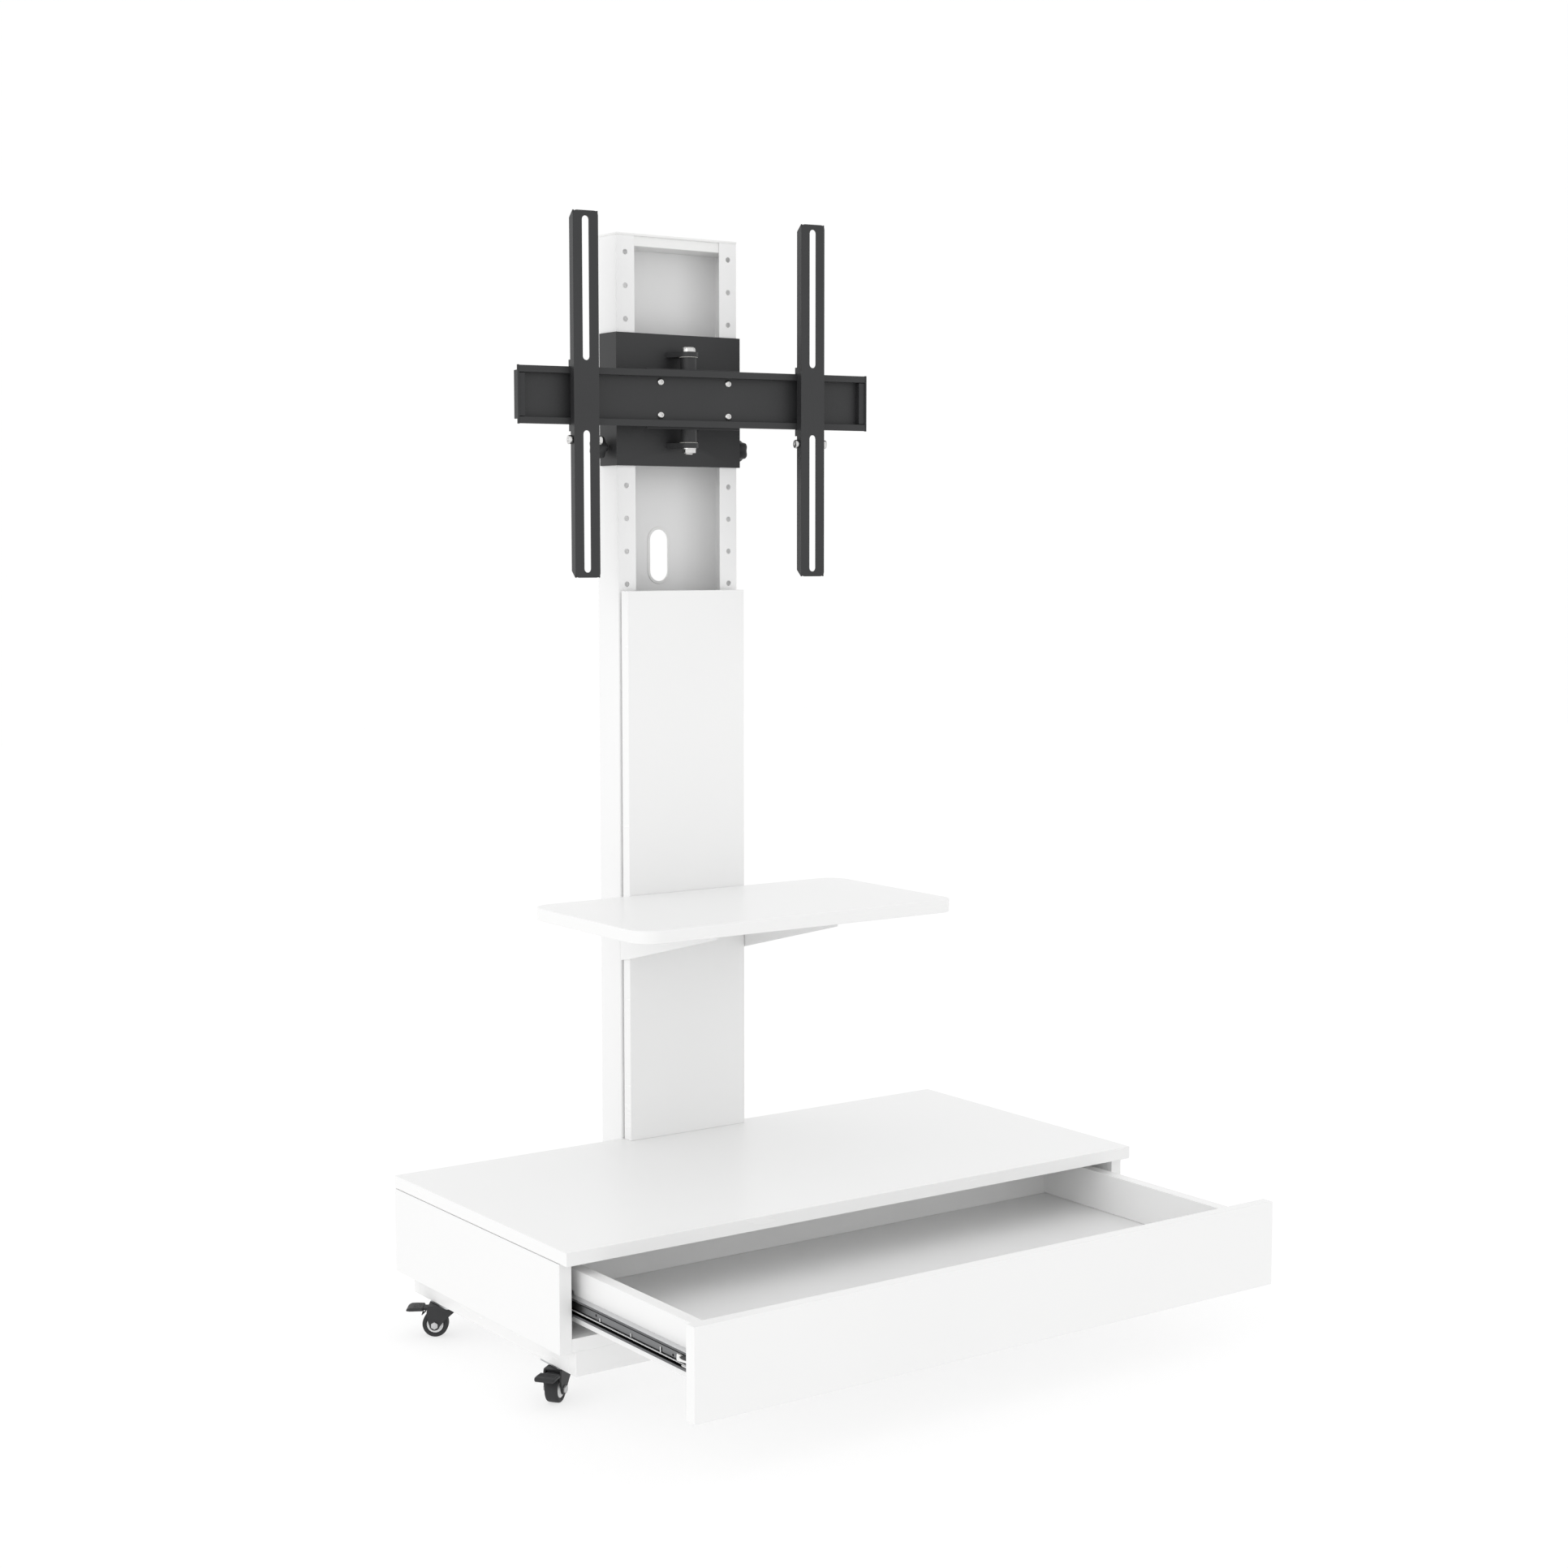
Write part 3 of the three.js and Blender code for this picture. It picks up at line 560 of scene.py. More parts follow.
def t_socket(r=4.6, h=2.6, hexr=2.1, name="t_socket"):
    """Button head with a hexagon socket."""
    bm = bmesh.new()
    lathe(bm, [(r, 0), (r, 0.4), (r * 0.94, h * 0.5), (r * 0.76, h * 0.85), (r * 0.55, h), (0, h)], IDENT, 32)
    bmesh.ops.holes_fill(bm, edges=bm.edges)
    head = to_mesh(name, bm)
    bm = bmesh.new()
    prism(bm, circle(0, 0, hexr, 6, 0), h * 0.35, h + 1, IDENT)
    return boolean(head, to_mesh("t_hexcut", bm, merge=False))


def t_cap(r=6.0, h=0.9, name="t_cap"):
    """Round press-in cover cap."""
    bm = bmesh.new()
    lathe(bm, [(r, 0), (r, h * 0.4), (r * 0.95, h * 0.75), (r * 0.8, h * 0.95), (0, h)], IDENT, 36)
    bmesh.ops.holes_fill(bm, edges=bm.edges)
    return to_mesh(name, bm)


T_PAN = t_pan_screw()
T_CSK = t_csk_screw()
T_CSK_SMALL = t_csk_screw(2.6, "t_csk_small")
T_BUTTON = t_socket()
T_CAP = t_cap()
T_HEX_M8 = t_hex(7.0, 4.4, washer=8.2, name="t_hex_m8")
T_HEX_M6 = t_hex(5.5, 3.6, washer=6.2, name="t_hex_m6")


# ------------------------------------------------------------------ boards
for n in (
    "top_panel", "bottom_panel", "back_panel",
    "plinth_front", "plinth_rear", "plinth_rail_left", "plinth_rail_right",
    "drawer_front", "drawer_side_left", "drawer_side_right", "drawer_back", "column_cover",
):
    refine(n, M["laminate"], "_board", bevel=0.00055, edge=M["edge"])
refine("drawer_bottom", M["foil"], "_sheet", bevel=0.0003)


def side_panel(side, s):
    """Side panel whose outer top edge is rebated, which leaves a fine dark line under the top panel."""
    name = "side_panel_" + side
    lo, hi = [v * 1000.0 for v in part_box(name)]
    out, inn = (lo.x, hi.x) if s < 0 else (hi.x, lo.x)
    outline = [(out, lo.z), (out, hi.z - 0.75), (out - s * 3.0, hi.z - 0.75), (out - s * 3.0, hi.z), (inn, hi.z), (inn, lo.z)]
    bm = bmesh.new()
    prism(bm, outline, lo.y, hi.y, lambda a, b, h: Vector((a, h, b)) / 1000.0)
    bmesh.ops.recalc_face_normals(bm, faces=bm.faces)
    for f in bm.faces:
        f.normal_update()
        f.material_index = 0 if abs(f.normal.x) > 0.5 else 1
    piece(name + "_board", to_mesh(name + "_board", bm, merge=False), [M["laminate"], M["edge"]], body_of(name), 0.0003, 34, name)


side_panel("left", -1)
side_panel("right", 1)


# ------------------------------------------------------------------ column
def column():
    wall = 1.5
    c = wall / 2
    line = [
        (-62.0, 396 + c), (-88 + c, 396 + c), (-88 + c, 443 - c), (88 - c, 443 - c), (88 - c, 396 + c), (62.0, 396 + c),
    ]
    bm = bmesh.new()
    prism(bm, sheet_outline(line, wall, radius=1.6, steps=5), 70, 1290, lambda a, b, h: mm(a, b, h))
    base = to_mesh("column", bm, merge=False)
    bm = bmesh.new()
    for z in (222, 905):
        prism(bm, obround(0, z, 15, 34, 12), 436, 448, lambda a, b, h: mm(a, h, b))
    z = 230
    while z <= 1270:
        for s in (-1, 1):
            prism(bm, circle(s * 75, z, 3.3, 18), 392, 400, lambda a, b, h: mm(a, h, b))
        z += 40
    me = boolean(base, to_mesh("column_cuts", bm, merge=False))
    piece("column_channel_sheet", me, M["white_steel"], "cabinet", 0.0002, 34, "column_channel", 1, 60)

    # plastic grommets in the cable holes
    bm = bmesh.new()
    for z in (222, 905):
        for hw, hl, y0, y1 in ((16.6, 35.6, 440.6, 441.5), (14.9, 33.9, 441.4, 442.9)):
            outer, inner = obround(0, z, hw, hl, 12), obround(0, z, 13.2, 32.2, 12)
            rings = [
                [bm.verts.new(mm(a, y1 if k in (1, 2) else y0, b)) for a, b in ring]
                for k, ring in enumerate((outer, outer, inner, inner))
            ]
            for k in range(4):
                p, q = rings[k], rings[(k + 1) % 4]
                for i in range(len(p)):
                    j = (i + 1) % len(p)
                    bm.faces.new((p[i], p[j], q[j], q[i]))
    piece("cable_hole_grommets", to_mesh("grommets", bm, merge=False), M["white_plastic"], "cabinet", 0.0002, 30)

    refine("column_cap", M["white_plastic"], "_moulding", bevel=0.0008, segs=3)

    # spacers that hold the cover clear of the column
    bm = bmesh.new()
    for z in (212, 262, 640, 850):
        for s in (-1, 1):
            m = axis_place(mm(s * 72, 392.7, z), (0, 1, 0))
            lathe(bm, [(2.2, 0), (6.5, 0), (6.5, 3.3), (2.2, 3.3), (2.2, 0)], local_mm(m), 28)
    piece("cover_spacers", to_mesh("spacers", bm), M["nylon"], "cabinet", 0.0002, 30)

    # nuts of the foot bracket's bolts on the back panel, inside the column, and the bracket's own fastenings
    bm = bmesh.new()
    for z in (98, 146):
        for x in (-46, 46):
            stamp(bm, T_HEX_M6, axis_place(mm(x, 396, z), (0, 1, 0)))
    piece("column_foot_nuts", to_mesh("foot_nuts", bm), M["bright_steel"], "cabinet", None, 30)
    refine("column_foot_bracket", M["galvanised"], "_plate", bevel=0.0005)
    bm = bmesh.new()
    for x in (-60, 0, 60):
        for y in (110, 210, 310):
            stamp(bm, T_PAN, axis_place(mm(x, y, 86), (0, 0, 1)))
    for z in (98, 146):
        for x in (-46, 46):
            stamp(bm, T_HEX_M6, axis_place(mm(x, 378, z), (0, -1, 0)))
    piece("foot_bracket_screws", to_mesh("foot_screws", bm), M["bright_steel"], "cabinet", None, 30)


column()


# ------------------------------------------------------------------ cabinet fastenings
def cabinet_fastenings():
    bm = bmesh.new()
    for x in (-350, -235, -120, 120, 235, 350):
        stamp(bm, T_CSK, axis_place(mm(x, 396, 75.5), (0, 1, 0)))
    for x in (-360, -240, -115, 115, 240, 360):  # plinth members, from under
        stamp(bm, T_CSK_SMALL, axis_place(mm(x, 24, 40.5), (0, 0, -1)))
        stamp(bm, T_CSK_SMALL, axis_place(mm(x, 381.5, 40.5), (0, 0, -1)))
    for s in (-1, 1):
        for y in (120, 202, 285):
            stamp(bm, T_CSK_SMALL, axis_place(mm(s * 342, y, 40.5), (0, 0, -1)))
    piece("cabinet_screws", to_mesh("cabinet_screws", bm), M["galvanised"], "cabinet", None, 30)
    bm = bmesh.new()
    for s in (-1, 1):  # cover caps inside, over the cam fittings of the side panels
        for y in (60, 340):
            stamp(bm, T_CAP, axis_place(mm(s * 300, y, 83), (0, 0, 1)))
        for z in (100, 150):
            stamp(bm, T_CAP, axis_place(mm(s * 365, 396, z), (0, 1, 0)) @ Matrix.Scale(0.62, 4))
    piece("cabinet_cover_caps", to_mesh("caps", bm), M["white_plastic"], "cabinet", None, 30)


cabinet_fastenings()


# ------------------------------------------------------------------ drawer slides
def slides():
    for side, s in (("left", -1), ("right", 1)):
        def at(u, z, h):
            return mm(s * (385 - u), h, 116 + z)

        # inner member: rolled profile, its web raised between two raceways, each with a bead along its edge
        half = [
            (8.5, 3.4), (9.5, 3.7), (9.5, 5.0), (8.5, 5.2), (7.2, 5.5), (7.05, 5.8), (7.3, 6.35), (8.95, 6.7), (11.0, 6.9),
            (11.0, 8.45), (10.7, 8.75), (5.0, 8.75), (4.7, 8.5), (4.6, 7.4), (4.35, 7.15), (3.85, 7.15), (3.6, 7.4),
            (3.6, 9.35), (3.7, 9.65), (4.0, 9.75), (12.0, 9.75), (12.0, 6.1), (11.9, 5.95),
            (10.5, 5.6), (10.5, 3.4), (9.5, 2.6),
        ]
        bm = bmesh.new()
        prism(bm, half + [(u, -z) for u, z in half[::-1]], -223, 127, at)
        base = to_mesh("inner", bm, merge=False)
        bm = bmesh.new()
        cuts = [circle(-20, 0.5, 1.4, 16), circle(-168, -1.6, 1.5, 16), circle(60, 0, 2.2, 16), circle(112, 0, 2.2, 16)]
        cuts += [obround(-29.6, -2.2, 0.9, 2.1, 8), obround(-90.4, -2.2, 0.9, 2.1, 8), obround(-146.8, -1.9, 1.1, 3.2, 8), obround(12, 0, 1.3, 3.1, 8)]
        for c in cuts:
            prism(bm, c, 7, 13, lambda a, b, h: at(h, b, a))
        me = boolean(base, to_mesh("inner_cuts", bm, merge=False))
        # The faces of the inner member take lit and shaded copies of one steel by where they lie in the profile: index
        # 4 (flat faces of the flanges) and index 2 (the bead) are painted highlights, index 3 (the lips) and index 1
        # (the recesses) are painted shade, and index 0 is the plain steel of the web.
        for f in me.polygons:
            u, z = 385 - abs(f.center.x * 1000), abs(f.center.z * 1000 - 116)
            if z > 9.62:
                f.material_index = 4
            elif u < 4.8:
                f.material_index = 3
            elif z < 3.3:
                f.material_index = 0
            elif z < 5.15:
                f.material_index = 1
            elif z < 5.95 and u < 8.6:
                f.material_index = 2
            else:
                f.material_index = 1
        piece("slide_inner_%s_rail" % side, me, [M["zinc"], M["raceway"], M["burnished"], M["rolled_lip"], M["plated_flange"]], "drawer", 0.00008, 34, "slide_inner_" + side, 1, 50)
        # lanced tabs beside the slots, in the near-white copy of the slide steel: a painted highlight
        bm = bmesh.new()
        for y, z0, z1 in ((-28.4, -4.2, -0.2), (-89.2, -4.2, -0.2), (-145.3, -5.0, 1.2)):
            prism(bm, [(y - 0.55, z0), (y + 0.55, z0 + 0.3), (y + 0.55, z1 - 0.3), (y - 0.55, z1)], 7.7, 8.6, lambda a, b, h: at(h, b, a))
        piece("slide_inner_%s_tabs" % side, to_mesh("tabs", bm), M["burnished"], "drawer", 0.00015, 34)

        # outer member and its screws, and the inner member's screws
        # the outer member takes the darker copy of the slide steel as well, painted shade
        refine("slide_outer_" + side, M["rolled_lip"], "_rail", bevel=0.0003, segs=2)
        bm = bmesh.new()
        for y in (60, 170, 290, 350):
            stamp(bm, T_CSK_SMALL, axis_place(at(1.25, 0, y), (-s, 0, 0)))
        piece("slide_outer_%s_screws" % side, to_mesh("s", bm), M["bright_steel"], "cabinet", None, 30)
        bm = bmesh.new()
        for y in (40, 100):  # further forward the photograph shows none
            stamp(bm, T_CSK_SMALL, axis_place(at(8.42, 0, y), (s, 0, 0)))
        piece("slide_inner_%s_screws" % side, to_mesh("s", bm), M["bright_steel"], "drawer", None, 30)

        # ball retainer with its two rows of balls
        refine("slide_ball_retainer_" + side, M["bright_steel"], "_strip", bevel=0.0003)
        bm = bmesh.new()
        for k in range(9):
            for row in (-1, 1):
                m = Matrix.Translation(at(6.0, row * 11.53, 35 + k * 9.5))
                bmesh.ops.create_uvsphere(bm, u_segments=16, v_segments=10, radius=0.00172, matrix=m)
        piece("slide_balls_" + side, to_mesh("balls", bm), M["bright_steel"], "ball_retainer_" + side, None, 60)

        # release lever: white moulding round a dark tongue, with a finger tab below
        def lev(a, b, h):
            return at(h, b, a)

        bm = bmesh.new()
        prism(
            bm,
            [(-217, -1.2), (-197, -1.8), (-184, -3.2), (-180.6, -3.5), (-179.4, -3.0), (-178.9, -1.6), (-179.2, 2.6), (-179.9, 3.7), (-181.2, 4.0), (-186.0, 3.6), (-187.2, 3.0), (-184.4, 2.2), (-183.4, 1.2), (-184.6, 0.2), (-190, -0.1), (-197, 0.6), (-217, 0.8)],
            5.3, 8.2, lev,
        )
        prism(bm, [(-217, -7.3), (-189.6, -7.1), (-187.4, -6.4), (-188.2, -5.6), (-217, -5.3)], 5.3, 7.0, lev)
        prism(bm, [(-217, -5.6), (-214, -5.6), (-214, -1.0), (-217, -1.0)], 5.4, 6.8, lev)
        prism(bm, circle(-181.6, -1.4, 1.1, 18), 5.0, 8.3, lev)
        piece("slide_release_lever_%s_moulding" % side, to_mesh("lever", bm, merge=False), M["white_plastic"], "release_lever_" + side, 0.0002, 34, "slide_release_lever_" + side, 1, 50)
        bm = bmesh.new()
        prism(bm, [(-217, 1.4), (-197, 1.2), (-189.5, 0.5), (-185.4, 0.8), (-185.0, 1.7), (-188.6, 2.9), (-191.5, 4.2), (-195.5, 4.9), (-217, 5.0)], 5.5, 6.85, lev)
        piece("slide_lever_tongue_" + side, to_mesh("tongue", bm), M["black_plastic"], "release_lever_" + side, 0.0002, 34)
        # end stop of the outer member
        bm = bmesh.new()
        prism(bm, [(1.3, -12.6), (3.0, -12.6), (3.0, 12.6), (1.3, 12.6)], 368.6, 376, at)
        prism(bm, [(1.3, 7.0), (7.6, 7.0), (7.6, 12.6), (1.3, 12.6)], 370, 376, at)
        prism(bm, [(1.3, -12.6), (7.6, -12.6), (7.6, -7.0), (1.3, -7.0)], 370, 376, at)
        piece("slide_end_stop_" + side, to_mesh("stop", bm), M["black_plastic"], "cabinet", 0.0004, 34)


slides()


# ------------------------------------------------------------------ shelf
def shelf():
    # board with round corners, its edge band in one run
    outline = []
    for cx, cy, a0 in ((200, 349.2, 0), (-200, 349.2, PI / 2), (-200, 152, PI), (200, 152, 1.5 * PI)):
        for i in range(25):
            a = a0 + PI / 2 * i / 24
            outline.append((cx + 28 * math.cos(a), cy + 28 * math.sin(a)))
    bm = bmesh.new()
    prism(bm, outline, 473.5, 488.5, lambda a, b, h: mm(a, b, h))
    for f in bm.faces:
        f.normal_update()
        f.material_index = 0 if abs(f.normal.z) > 0.5 else 1
    piece("shelf_board_rounded", to_mesh("shelf", bm), [M["laminate"], M["edge"]], "shelf", 0.0007, 34, "shelf_board", 3)

    refine("shelf_bracket", M["white_steel"], "_sheet", bevel=0.0004, segs=2)
    bm = bmesh.new()
    for x in (-80, 80):
        for y in (205, 280, 352):
            stamp(bm, T_PAN, axis_place(mm(x, y, 471.5), (0, 0, -1)) @ Matrix.Scale(0.9, 4))
    piece("shelf_screws", to_mesh("shelf_screws", bm), M["galvanised"], "shelf", None, 30)
    # clamp bolts of the bracket, reached from inside the column
    bm = bmesh.new()
    for x in (-75, 75):
        stamp(bm, T_PAN, axis_place(mm(x, 397.6, 430), (0, 1, 0)))
    piece("shelf_clamp_bolts", to_mesh("shelf_bolts", bm), M["bright_steel"], "shelf", None, 30)


shelf()


# ------------------------------------------------------------------ screen mount
def mount():
    refine("mount_carrier", M["black_steel"], "_bracket", bevel=0.0007, segs=3)
    for side, s in (("left", -1), ("right", 1)):
        # five-lobed clamp knob with a moulded collar and a recessed centre
        m = axis_place(mm(s * 96.4, 415, 1036), (s, 0, 0))
        p = local_mm(m)

        def lobes(a, h):
            return 1.0 + 0.115 * math.cos(5 * a)

        bm = bmesh.new()
        lathe(bm, [(0, -6.2), (2.9, -6.2), (2.9, -1.8), (0, -1.8)], p, 24, 1)
        lathe(bm, [(0, -2.4), (6.6, -2.4), (7.0, -2.0), (7.0, 0.6), (0, 0.6)], p, 36, 0)
        lathe(bm, [(0, 0.4), (9.4, 0.4), (11.6, 1.2), (12.5, 2.8), (12.7, 5.5), (12.7, 9.0), (12.1, 11.4), (10.6, 12.9), (8.4, 13.5), (5.4, 13.5), (4.9, 12.6), (0, 12.4)], p, 60, 0, 0.0, lobes)
        piece("clamp_knob_%s_moulding" % side, to_mesh("knob", bm), [M["black_plastic"], M["bright_steel"]], "knob_" + side, None, 40, "clamp_knob_" + side)

        # arms with their locking screws
        refine("screen_arm_" + side, M["black_steel"], "_profile", bevel=0.00045, segs=2)

    # swivel pin: button head on top, lock nut under
    bm = bmesh.new()
    c = local_mm(Matrix.Translation(mm(0, 372, 1094)))
    lathe(bm, [(0, -66), (4.4, -66), (5, -65.4), (5, 58.6), (0, 58.6)], c, 36)
    lathe(bm, [(5, 58.2), (9, 58.2), (9, 60.6), (8.3, 62.8), (6.6, 64), (3.4, 64), (3.1, 62.2), (0, 62.2)], c, 36)
    nut = t_hex(8.6, 5.2, washer=9.4, name="t_nut")
    stamp(bm, nut, axis_place(mm(0, 372, 1094 - 58), (0, 0, -1)))
    piece("swivel_pin_turned", to_mesh("pin", bm), M["bright_steel"], "carrier", 0.00025, 34, "swivel_pin")

    # head: barrel, plate, crossbar in the head's own frame
    turn = math.radians(-9.0)
    H = Matrix.Translation(mm(0, 372, 1094)) @ Matrix.Rotation(turn, 4, "Z")
    h = local_mm(H)
    refine("swivel_head", M["black_steel"], "_weldment", bevel=0.0005, segs=2)
    refine("crossbar", M["black_steel"], "_profile", bevel=0.0004, segs=2)
    bm = bmesh.new()
    for z in (-51.95, 51.45):
        ring = [(5.6, z), (11.4, z), (11.4, z + 0.5), (5.6, z + 0.5), (5.6, z)]
        lathe(bm, ring, h, 40)
    piece("swivel_washers", to_mesh("washers", bm), M["nylon"], "mount_head", None, 30)
    bm = bmesh.new()
    back = H.to_3x3() @ Vector((0, 1, 0))
    for x in (-45, 45):
        for z in (-20, 20):
            stamp(bm, T_HEX_M8, axis_place(h(x, -12.7, z), back))
            stamp(bm, T_BUTTON, axis_place(h(x, -18.0, z), -back))
    piece("head_bolts", to_mesh("head_bolts", bm), M["bright_steel"], "mount_head", None, 30)
    # moulded end caps of the crossbar
    bm = bmesh.new()
    for s in (-1, 1):
        a0, a1 = sorted((s * 229.6, s * 232.0))
        prism(bm, [(-15.7, -28.4), (-15.7, 28.4), (-25.6, 28.6), (-25.6, 34.4), (-28.4, 34.4), (-28.4, -34.4), (-25.6, -34.4), (-25.6, -28.6)], a0, a1, lambda y, z, x: h(x, y, z))
        a0, a1 = sorted((s * 222.0, s * 230.0))
        prism(bm, [(-18.4, -25.4), (-18.4, 25.4), (-26.8, 25.4), (-26.8, -25.4)], a0, a1, lambda y, z, x: h(x, y, z))
    piece("crossbar_end_caps", to_mesh("caps", bm), M["black_plastic"], "mount_head", 0.0004, 34)

    for side, s in (("left", -1), ("right", 1)):
        # knurled locking screw through the lower hook of each arm
        bm = bmesh.new()
        for t in (-1, 1):
            m = axis_place(h(s * 150 + t * 16.0, -33.0, -52), H.to_3x3() @ Vector((t, 0, 0)))
            lathe(bm, [(0, -2.4), (2.3, -2.4), (2.3, 0.4), (4.6, 0.4), (5.2, 0.9), (5.2, 4.6), (4.7, 5.2), (2.2, 5.2), (1.9, 4.7), (0, 4.7)], local_mm(m), 48, 0, 0.0, lambda a, hh: 1.0 + (0.03 * math.cos(24 * a) if hh > 0.3 else 0.0))
        piece("arm_lock_screws_" + side, to_mesh("lock", bm), M["bright_steel"], "arm_" + side, None, 50)


mount()


# ------------------------------------------------------------------ casters
FORK = [
    (-12.0, 38.1), (-9.8, 35.2), (-5.7, 30.5), (-1.0, 26.3), (3.7, 22.2), (7.9, 17.6), (11.2, 13.4), (13.0, 10.6), (14.9, 9.4),
    (17.0, 9.0), (19.2, 9.5), (21.0, 10.7), (22.4, 12.6), (23.3, 15.0), (24.2, 18.0), (24.9, 21.0), (25.7, 24.2), (26.3, 27.2), (26.2, 30.5), (25.5, 34.2), (24.5, 38.1),
]


def caster(name, sx, sy, direction):
    seat = Matrix.Translation(mm(sx * 364, sy, 0))
    C = seat @ Matrix.Rotation(math.atan2(direction[1], direction[0]), 4, "Z")
    sp, cp = local_mm(seat), local_mm(C)

    # top plate with four countersunk screws and the ball race under it
    bm = bmesh.new()
    plate = []
    for cx, cy, a0 in ((12.5, 18, 0), (-12.5, 18, PI / 2), (-12.5, -18, PI), (12.5, -18, 1.5 * PI)):
        for i in range(5):
            a = a0 + PI / 2 * i / 4
            plate.append((cx + 3 * math.cos(a), cy + 3 * math.sin(a)))
    prism(bm, plate, 38.5, 40.5, sp)
    lathe(bm, [(0, 38.55), (10.5, 38.55), (11.5, 38.35), (11.5, 38.2), (0, 38.2)], sp, 36)
    for x in (-11, 11):
        for y in (-16.4, 16.4):
            stamp(bm, T_CSK_SMALL, axis_place(sp(x, y, 38.5), (0, 0, -1)))
    piece("caster_plate_%s_pressing" % name, to_mesh("plate", bm), M["galvanised"], "cabinet", 0.0002, 34, "caster_plate_" + name, 1)

    # fork: hooded moulding with two legs, bosses and a front apron
    bm = bmesh.new()
    for s in (-1, 1):
        a, b = sorted((s * 8.4, s * 10.6))
        prism(bm, FORK, a, b, lambda x, z, y: cp(x, y, z))
        m = axis_place(cp(17, s * 10.6, 15), C.to_3x3() @ Vector((0, s, 0)))
        lathe(bm, [(0, -0.1), (6.2, -0.1), (5.9, 0.25), (5.5, 0.3), (0, 0.3)], local_mm(m), 36)
    prism(bm, [(-12, 38.1), (-9.8, 35.2), (-5.7, 30.5), (-2.4, 27.5), (-1.0, 28.8), (-4.3, 31.8), (-8.0, 36.0), (24.0, 36.0), (24.5, 38.1)], -8.5, 8.5, lambda x, z, y: cp(x, y, z))
    lathe(bm, [(0, 37.6), (13.6, 37.6), (14.6, 37.8), (14.6, 38.15), (0, 38.15)], cp, 40)
    piece("caster_fork_%s_moulding" % name, to_mesh("fork", bm), M["black_plastic"], "fork_" + name, 0.0004, 34, "caster_fork_" + name, 2, 28)

    # axle: hexagon bolt and nut
    bm = bmesh.new()
    lathe(bm, [(0, -12), (2.3, -12), (2.3, 12), (0, 12)], lambda x, y, hh: cp(17 + x, hh, 15 + y), 24)
    for s in (-1, 1):
        m = axis_place(cp(17, s * 10.9, 15), C.to_3x3() @ Vector((0, s, 0)))
        stamp(bm, T_AXLE, m)
    piece("caster_axle_%s_bolt" % name, to_mesh("axle", bm), M["axle_zinc"], "fork_" + name, 0.00012, 34, "caster_axle_" + name, 1)

    wp = lambda x, y, hh: cp(17 + x, hh, 15 + y)
    # tyre: crowned tread with round shoulders and a moulding line
    bm = bmesh.new()
    half = [(9.75, -6.2), (10.2, -6.7), (11.2, -7.05), (12.6, -7.2), (13.5, -7.1), (14.2, -6.7), (14.65, -6.1), (14.88, -5.2), (14.96, -3.6), (15.0, -1.8), (15.0, -0.25), (14.93, 0.0)]
    prof = half + [(r, -z) for r, z in half[-2::-1]]
    lathe(bm, prof + [prof[0]], wp, 72)
    piece("caster_tyre_%s_moulding" % name, to_mesh("tyre", bm), M["tyre"], "wheel_" + name, None, 50, "caster_tyre_" + name)

    # hub: boss, and a pale dished face that runs out to the tyre
    bm = bmesh.new()
    face = [(2.5, -7.5), (4.3, -7.5), (4.6, -7.2), (4.9, -6.1), (6.0, -5.9), (7.6, -6.0), (8.7, -6.35), (9.2, -6.65), (9.6, -6.3)]
    prof = face + [(r, -z) for r, z in face[::-1]] + [face[0]]
    lathe(bm, prof, wp, 60)
    piece("caster_hub_%s_moulding" % name, to_mesh("hub", bm, merge=False), M["grey_plastic"], "wheel_" + name, 0.00015, 34, "caster_hub_" + name, 1)

    # brake pedal: neck over the wheel, wide ribbed pad, and the brake spring below
    def ring(x, z0, z1, w, r=0.9):
        q = min(r, (z1 - z0) / 2.2, w / 2)
        return [(x, -w + q, z0), (x, w - q, z0), (x, w, z0 + q), (x, w, z1 - q), (x, w - q, z1), (x, -w + q, z1), (x, -w, z1 - q), (x, -w, z0 + q)]

    bm = bmesh.new()
    loft(bm, [ring(9.5, 33.0, 35.2, 7.6, 0.5), ring(12, 31.6, 35.2, 7.6), ring(20, 31.6, 34.9, 7.6), ring(28, 31.8, 34.7, 7.6), ring(31, 32.2, 34.8, 7.6)], cp)
    loft(bm, [ring(20.3, 34.5, 35.2, 6.6, 0.3), ring(21.4, 34.5, 35.85, 6.6, 0.3), ring(22.5, 34.5, 35.2, 6.6, 0.3)], cp)
    loft(bm, [ring(30.3, 32.4, 34.6, 10.6), ring(31.4, 32.0, 35.6, 11.8), ring(40, 31.8, 35.7, 12.0), ring(45.6, 31.6, 35.5, 12.0), ring(48.2, 31.6, 34.6, 11.2), ring(50, 31.7, 33.2, 9.8, 0.5)], cp)
    for x in (35.0, 37.2, 39.4, 41.6):
        loft(bm, [ring(x - 0.5, 35.2, 35.75, 9.8, 0.25), ring(x, 35.2, 36.05, 9.6, 0.25), ring(x + 0.5, 35.2, 35.75, 9.8, 0.25)], cp)
    piece("caster_pedal_%s_moulding" % name, to_mesh("pedal", bm, merge=False), M["black_plastic"], "pedal_" + name, 0.0002, 34, "caster_pedal_" + name, 1, 50)
    bm = bmesh.new()
    prism(bm, [(30.2, 32.6), (31.0, 32.6), (32.6, 26.8), (31.9, 26.4)], -4.6, 4.6, lambda x, z, y: cp(x, y, z))
    prism(bm, [(26.9, 32.4), (27.9, 32.4), (28.6, 29.8), (33.2, 25.6), (32.5, 25.0), (27.8, 29.4)], -3.8, 3.8, lambda x, z, y: cp(x, y, z))
    piece("caster_brake_spring_" + name, to_mesh("spring", bm), M["black_steel"], "pedal_" + name, 0.00015, 34, (), 1)


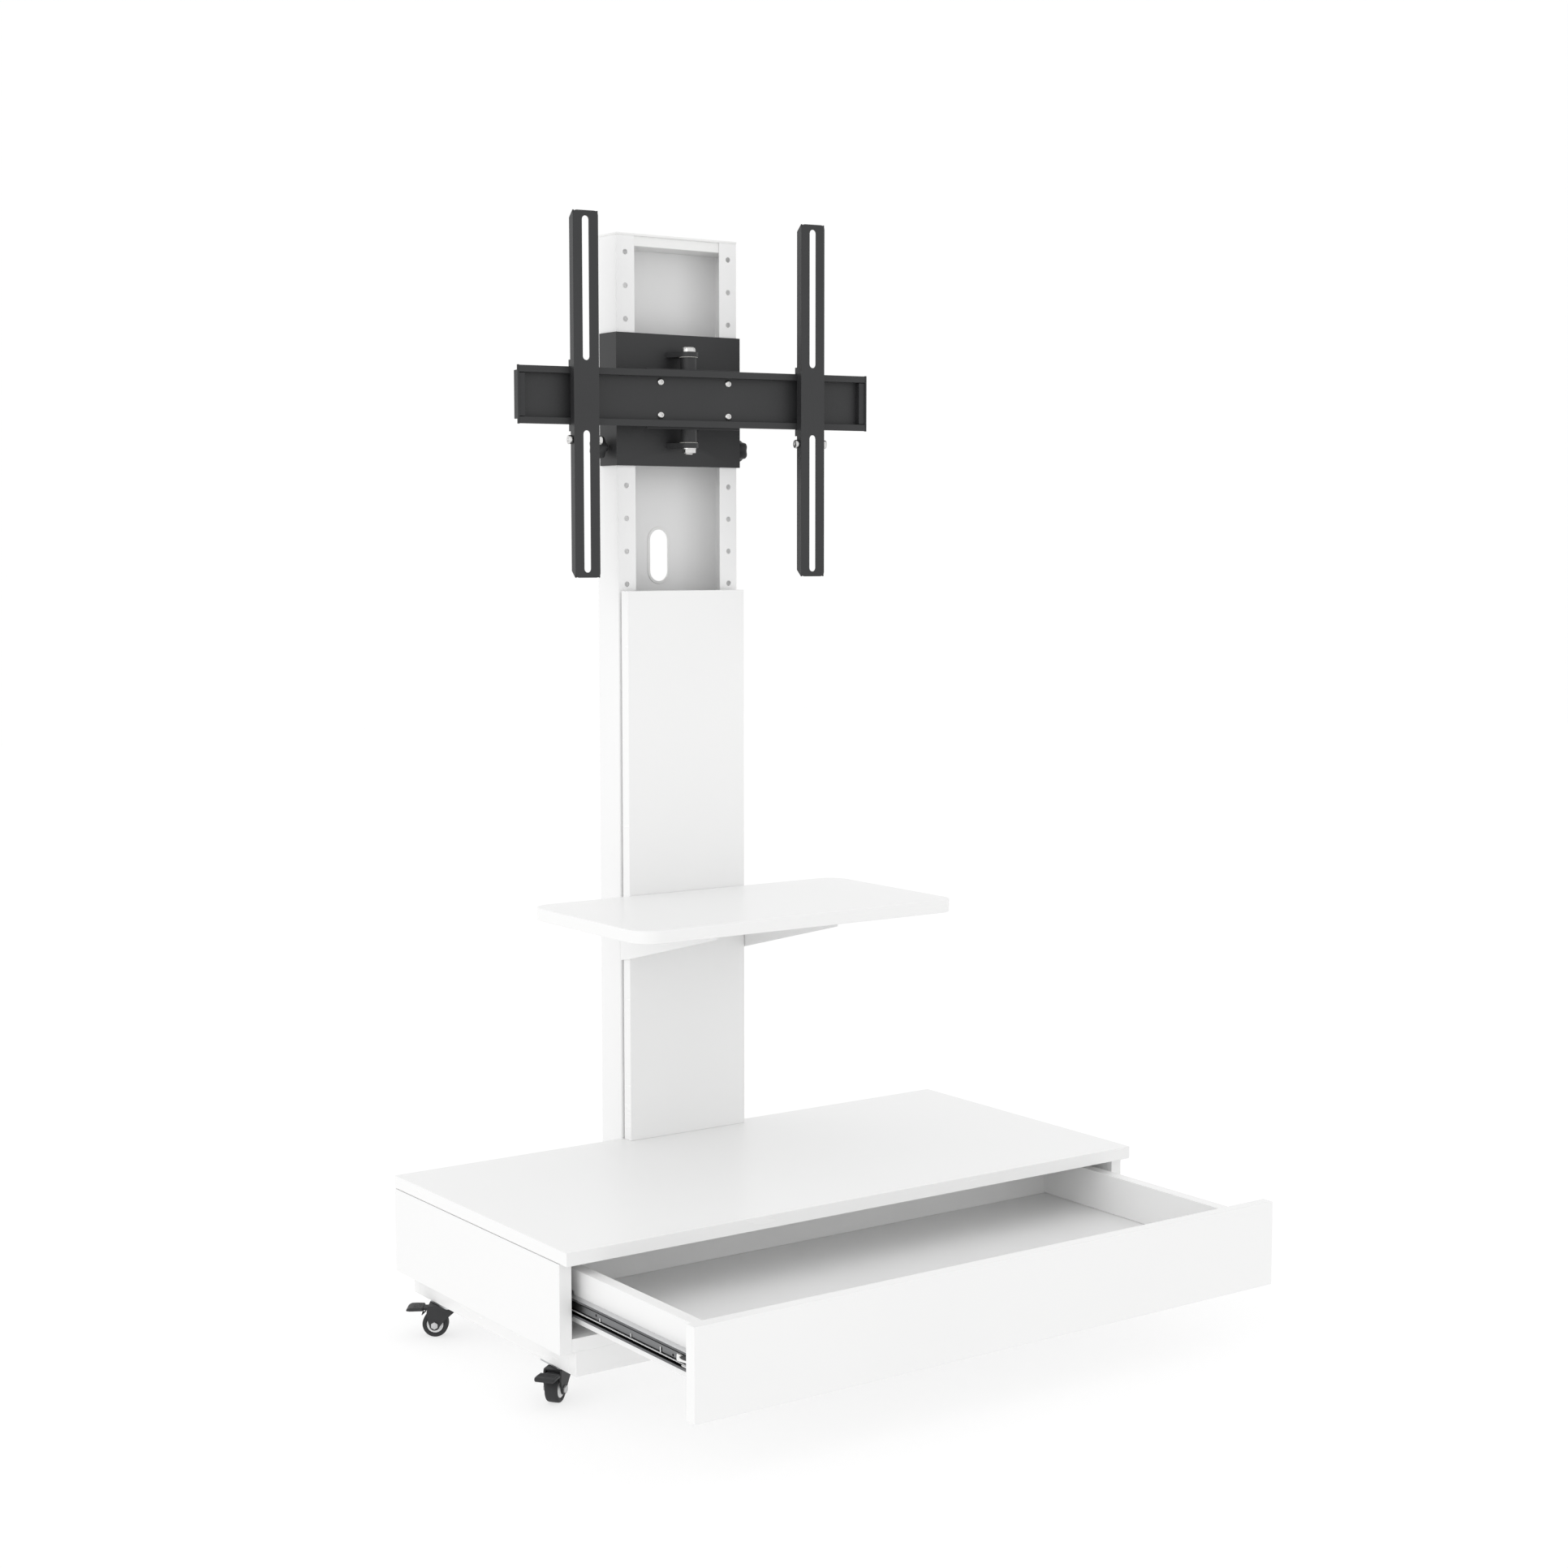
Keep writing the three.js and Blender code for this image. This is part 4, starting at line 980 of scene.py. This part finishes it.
T_AXLE = t_hex(4.3, 2.1, name="t_axle")
for args in (
    ("front_left", -1, 74, (-0.8, -0.6)),
    ("front_right", 1, 74, (0.8, -0.6)),
    ("rear_left", -1, 330, (-0.81, 0.586)),
    ("rear_right", 1, 330, (0.81, 0.586)),
):
    caster(*args)


# ------------------------------------------------------------------ stage and light
def stage():
    bm = bmesh.new()
    v = [bm.verts.new(p) for p in ((-9, -9, 0), (9, -9, 0), (9, 9, 0), (-9, 9, 0))]
    bm.faces.new(v)
    me = bpy.data.meshes.new("floor")
    bm.to_mesh(me)
    bm.free()
    # a pale table lit softly from below as well, as in a product photograph
    m = bpy.data.materials.new("floor")
    m.use_nodes = True
    b = next(n for n in m.node_tree.nodes if n.type == "BSDF_PRINCIPLED")
    b.inputs["Base Color"].default_value = (0.36, 0.36, 0.36, 1)
    b.inputs["Roughness"].default_value = 0.9
    b.inputs["Specular IOR Level"].default_value = 0.05
    b.inputs["Emission Color"].default_value = (1.0, 1.0, 1.0, 1)
    b.inputs["Emission Strength"].default_value = 0.66
    me.materials.append(m)
    floor = link_object(bpy.data.objects.new("floor", me))

    world = bpy.data.worlds.new("studio")
    SCENE.world = world
    world.use_nodes = True
    bg = next(n for n in world.node_tree.nodes if n.type == "BACKGROUND")
    bg.inputs["Color"].default_value = (1.0, 1.0, 1.0, 1)
    bg.inputs["Strength"].default_value = 1.005

    def sun(name, toward, strength, angle):
        light = bpy.data.lights.new(name, "SUN")
        light.energy = strength
        light.angle = math.radians(angle)
        ob = link_object(bpy.data.objects.new(name, light))
        ob.rotation_mode = "QUATERNION"
        ob.rotation_quaternion = Vector(toward).to_track_quat("-Z", "Y")
        return ob

    sun("key_left", (0.94, 0.3, -0.16), 0.46, 50)
    SCENE.view_settings.view_transform = "Standard"
    SCENE.view_settings.look = "None"
    SCENE.view_settings.exposure = 0.0
    SCENE.view_settings.gamma = 1.0


stage()
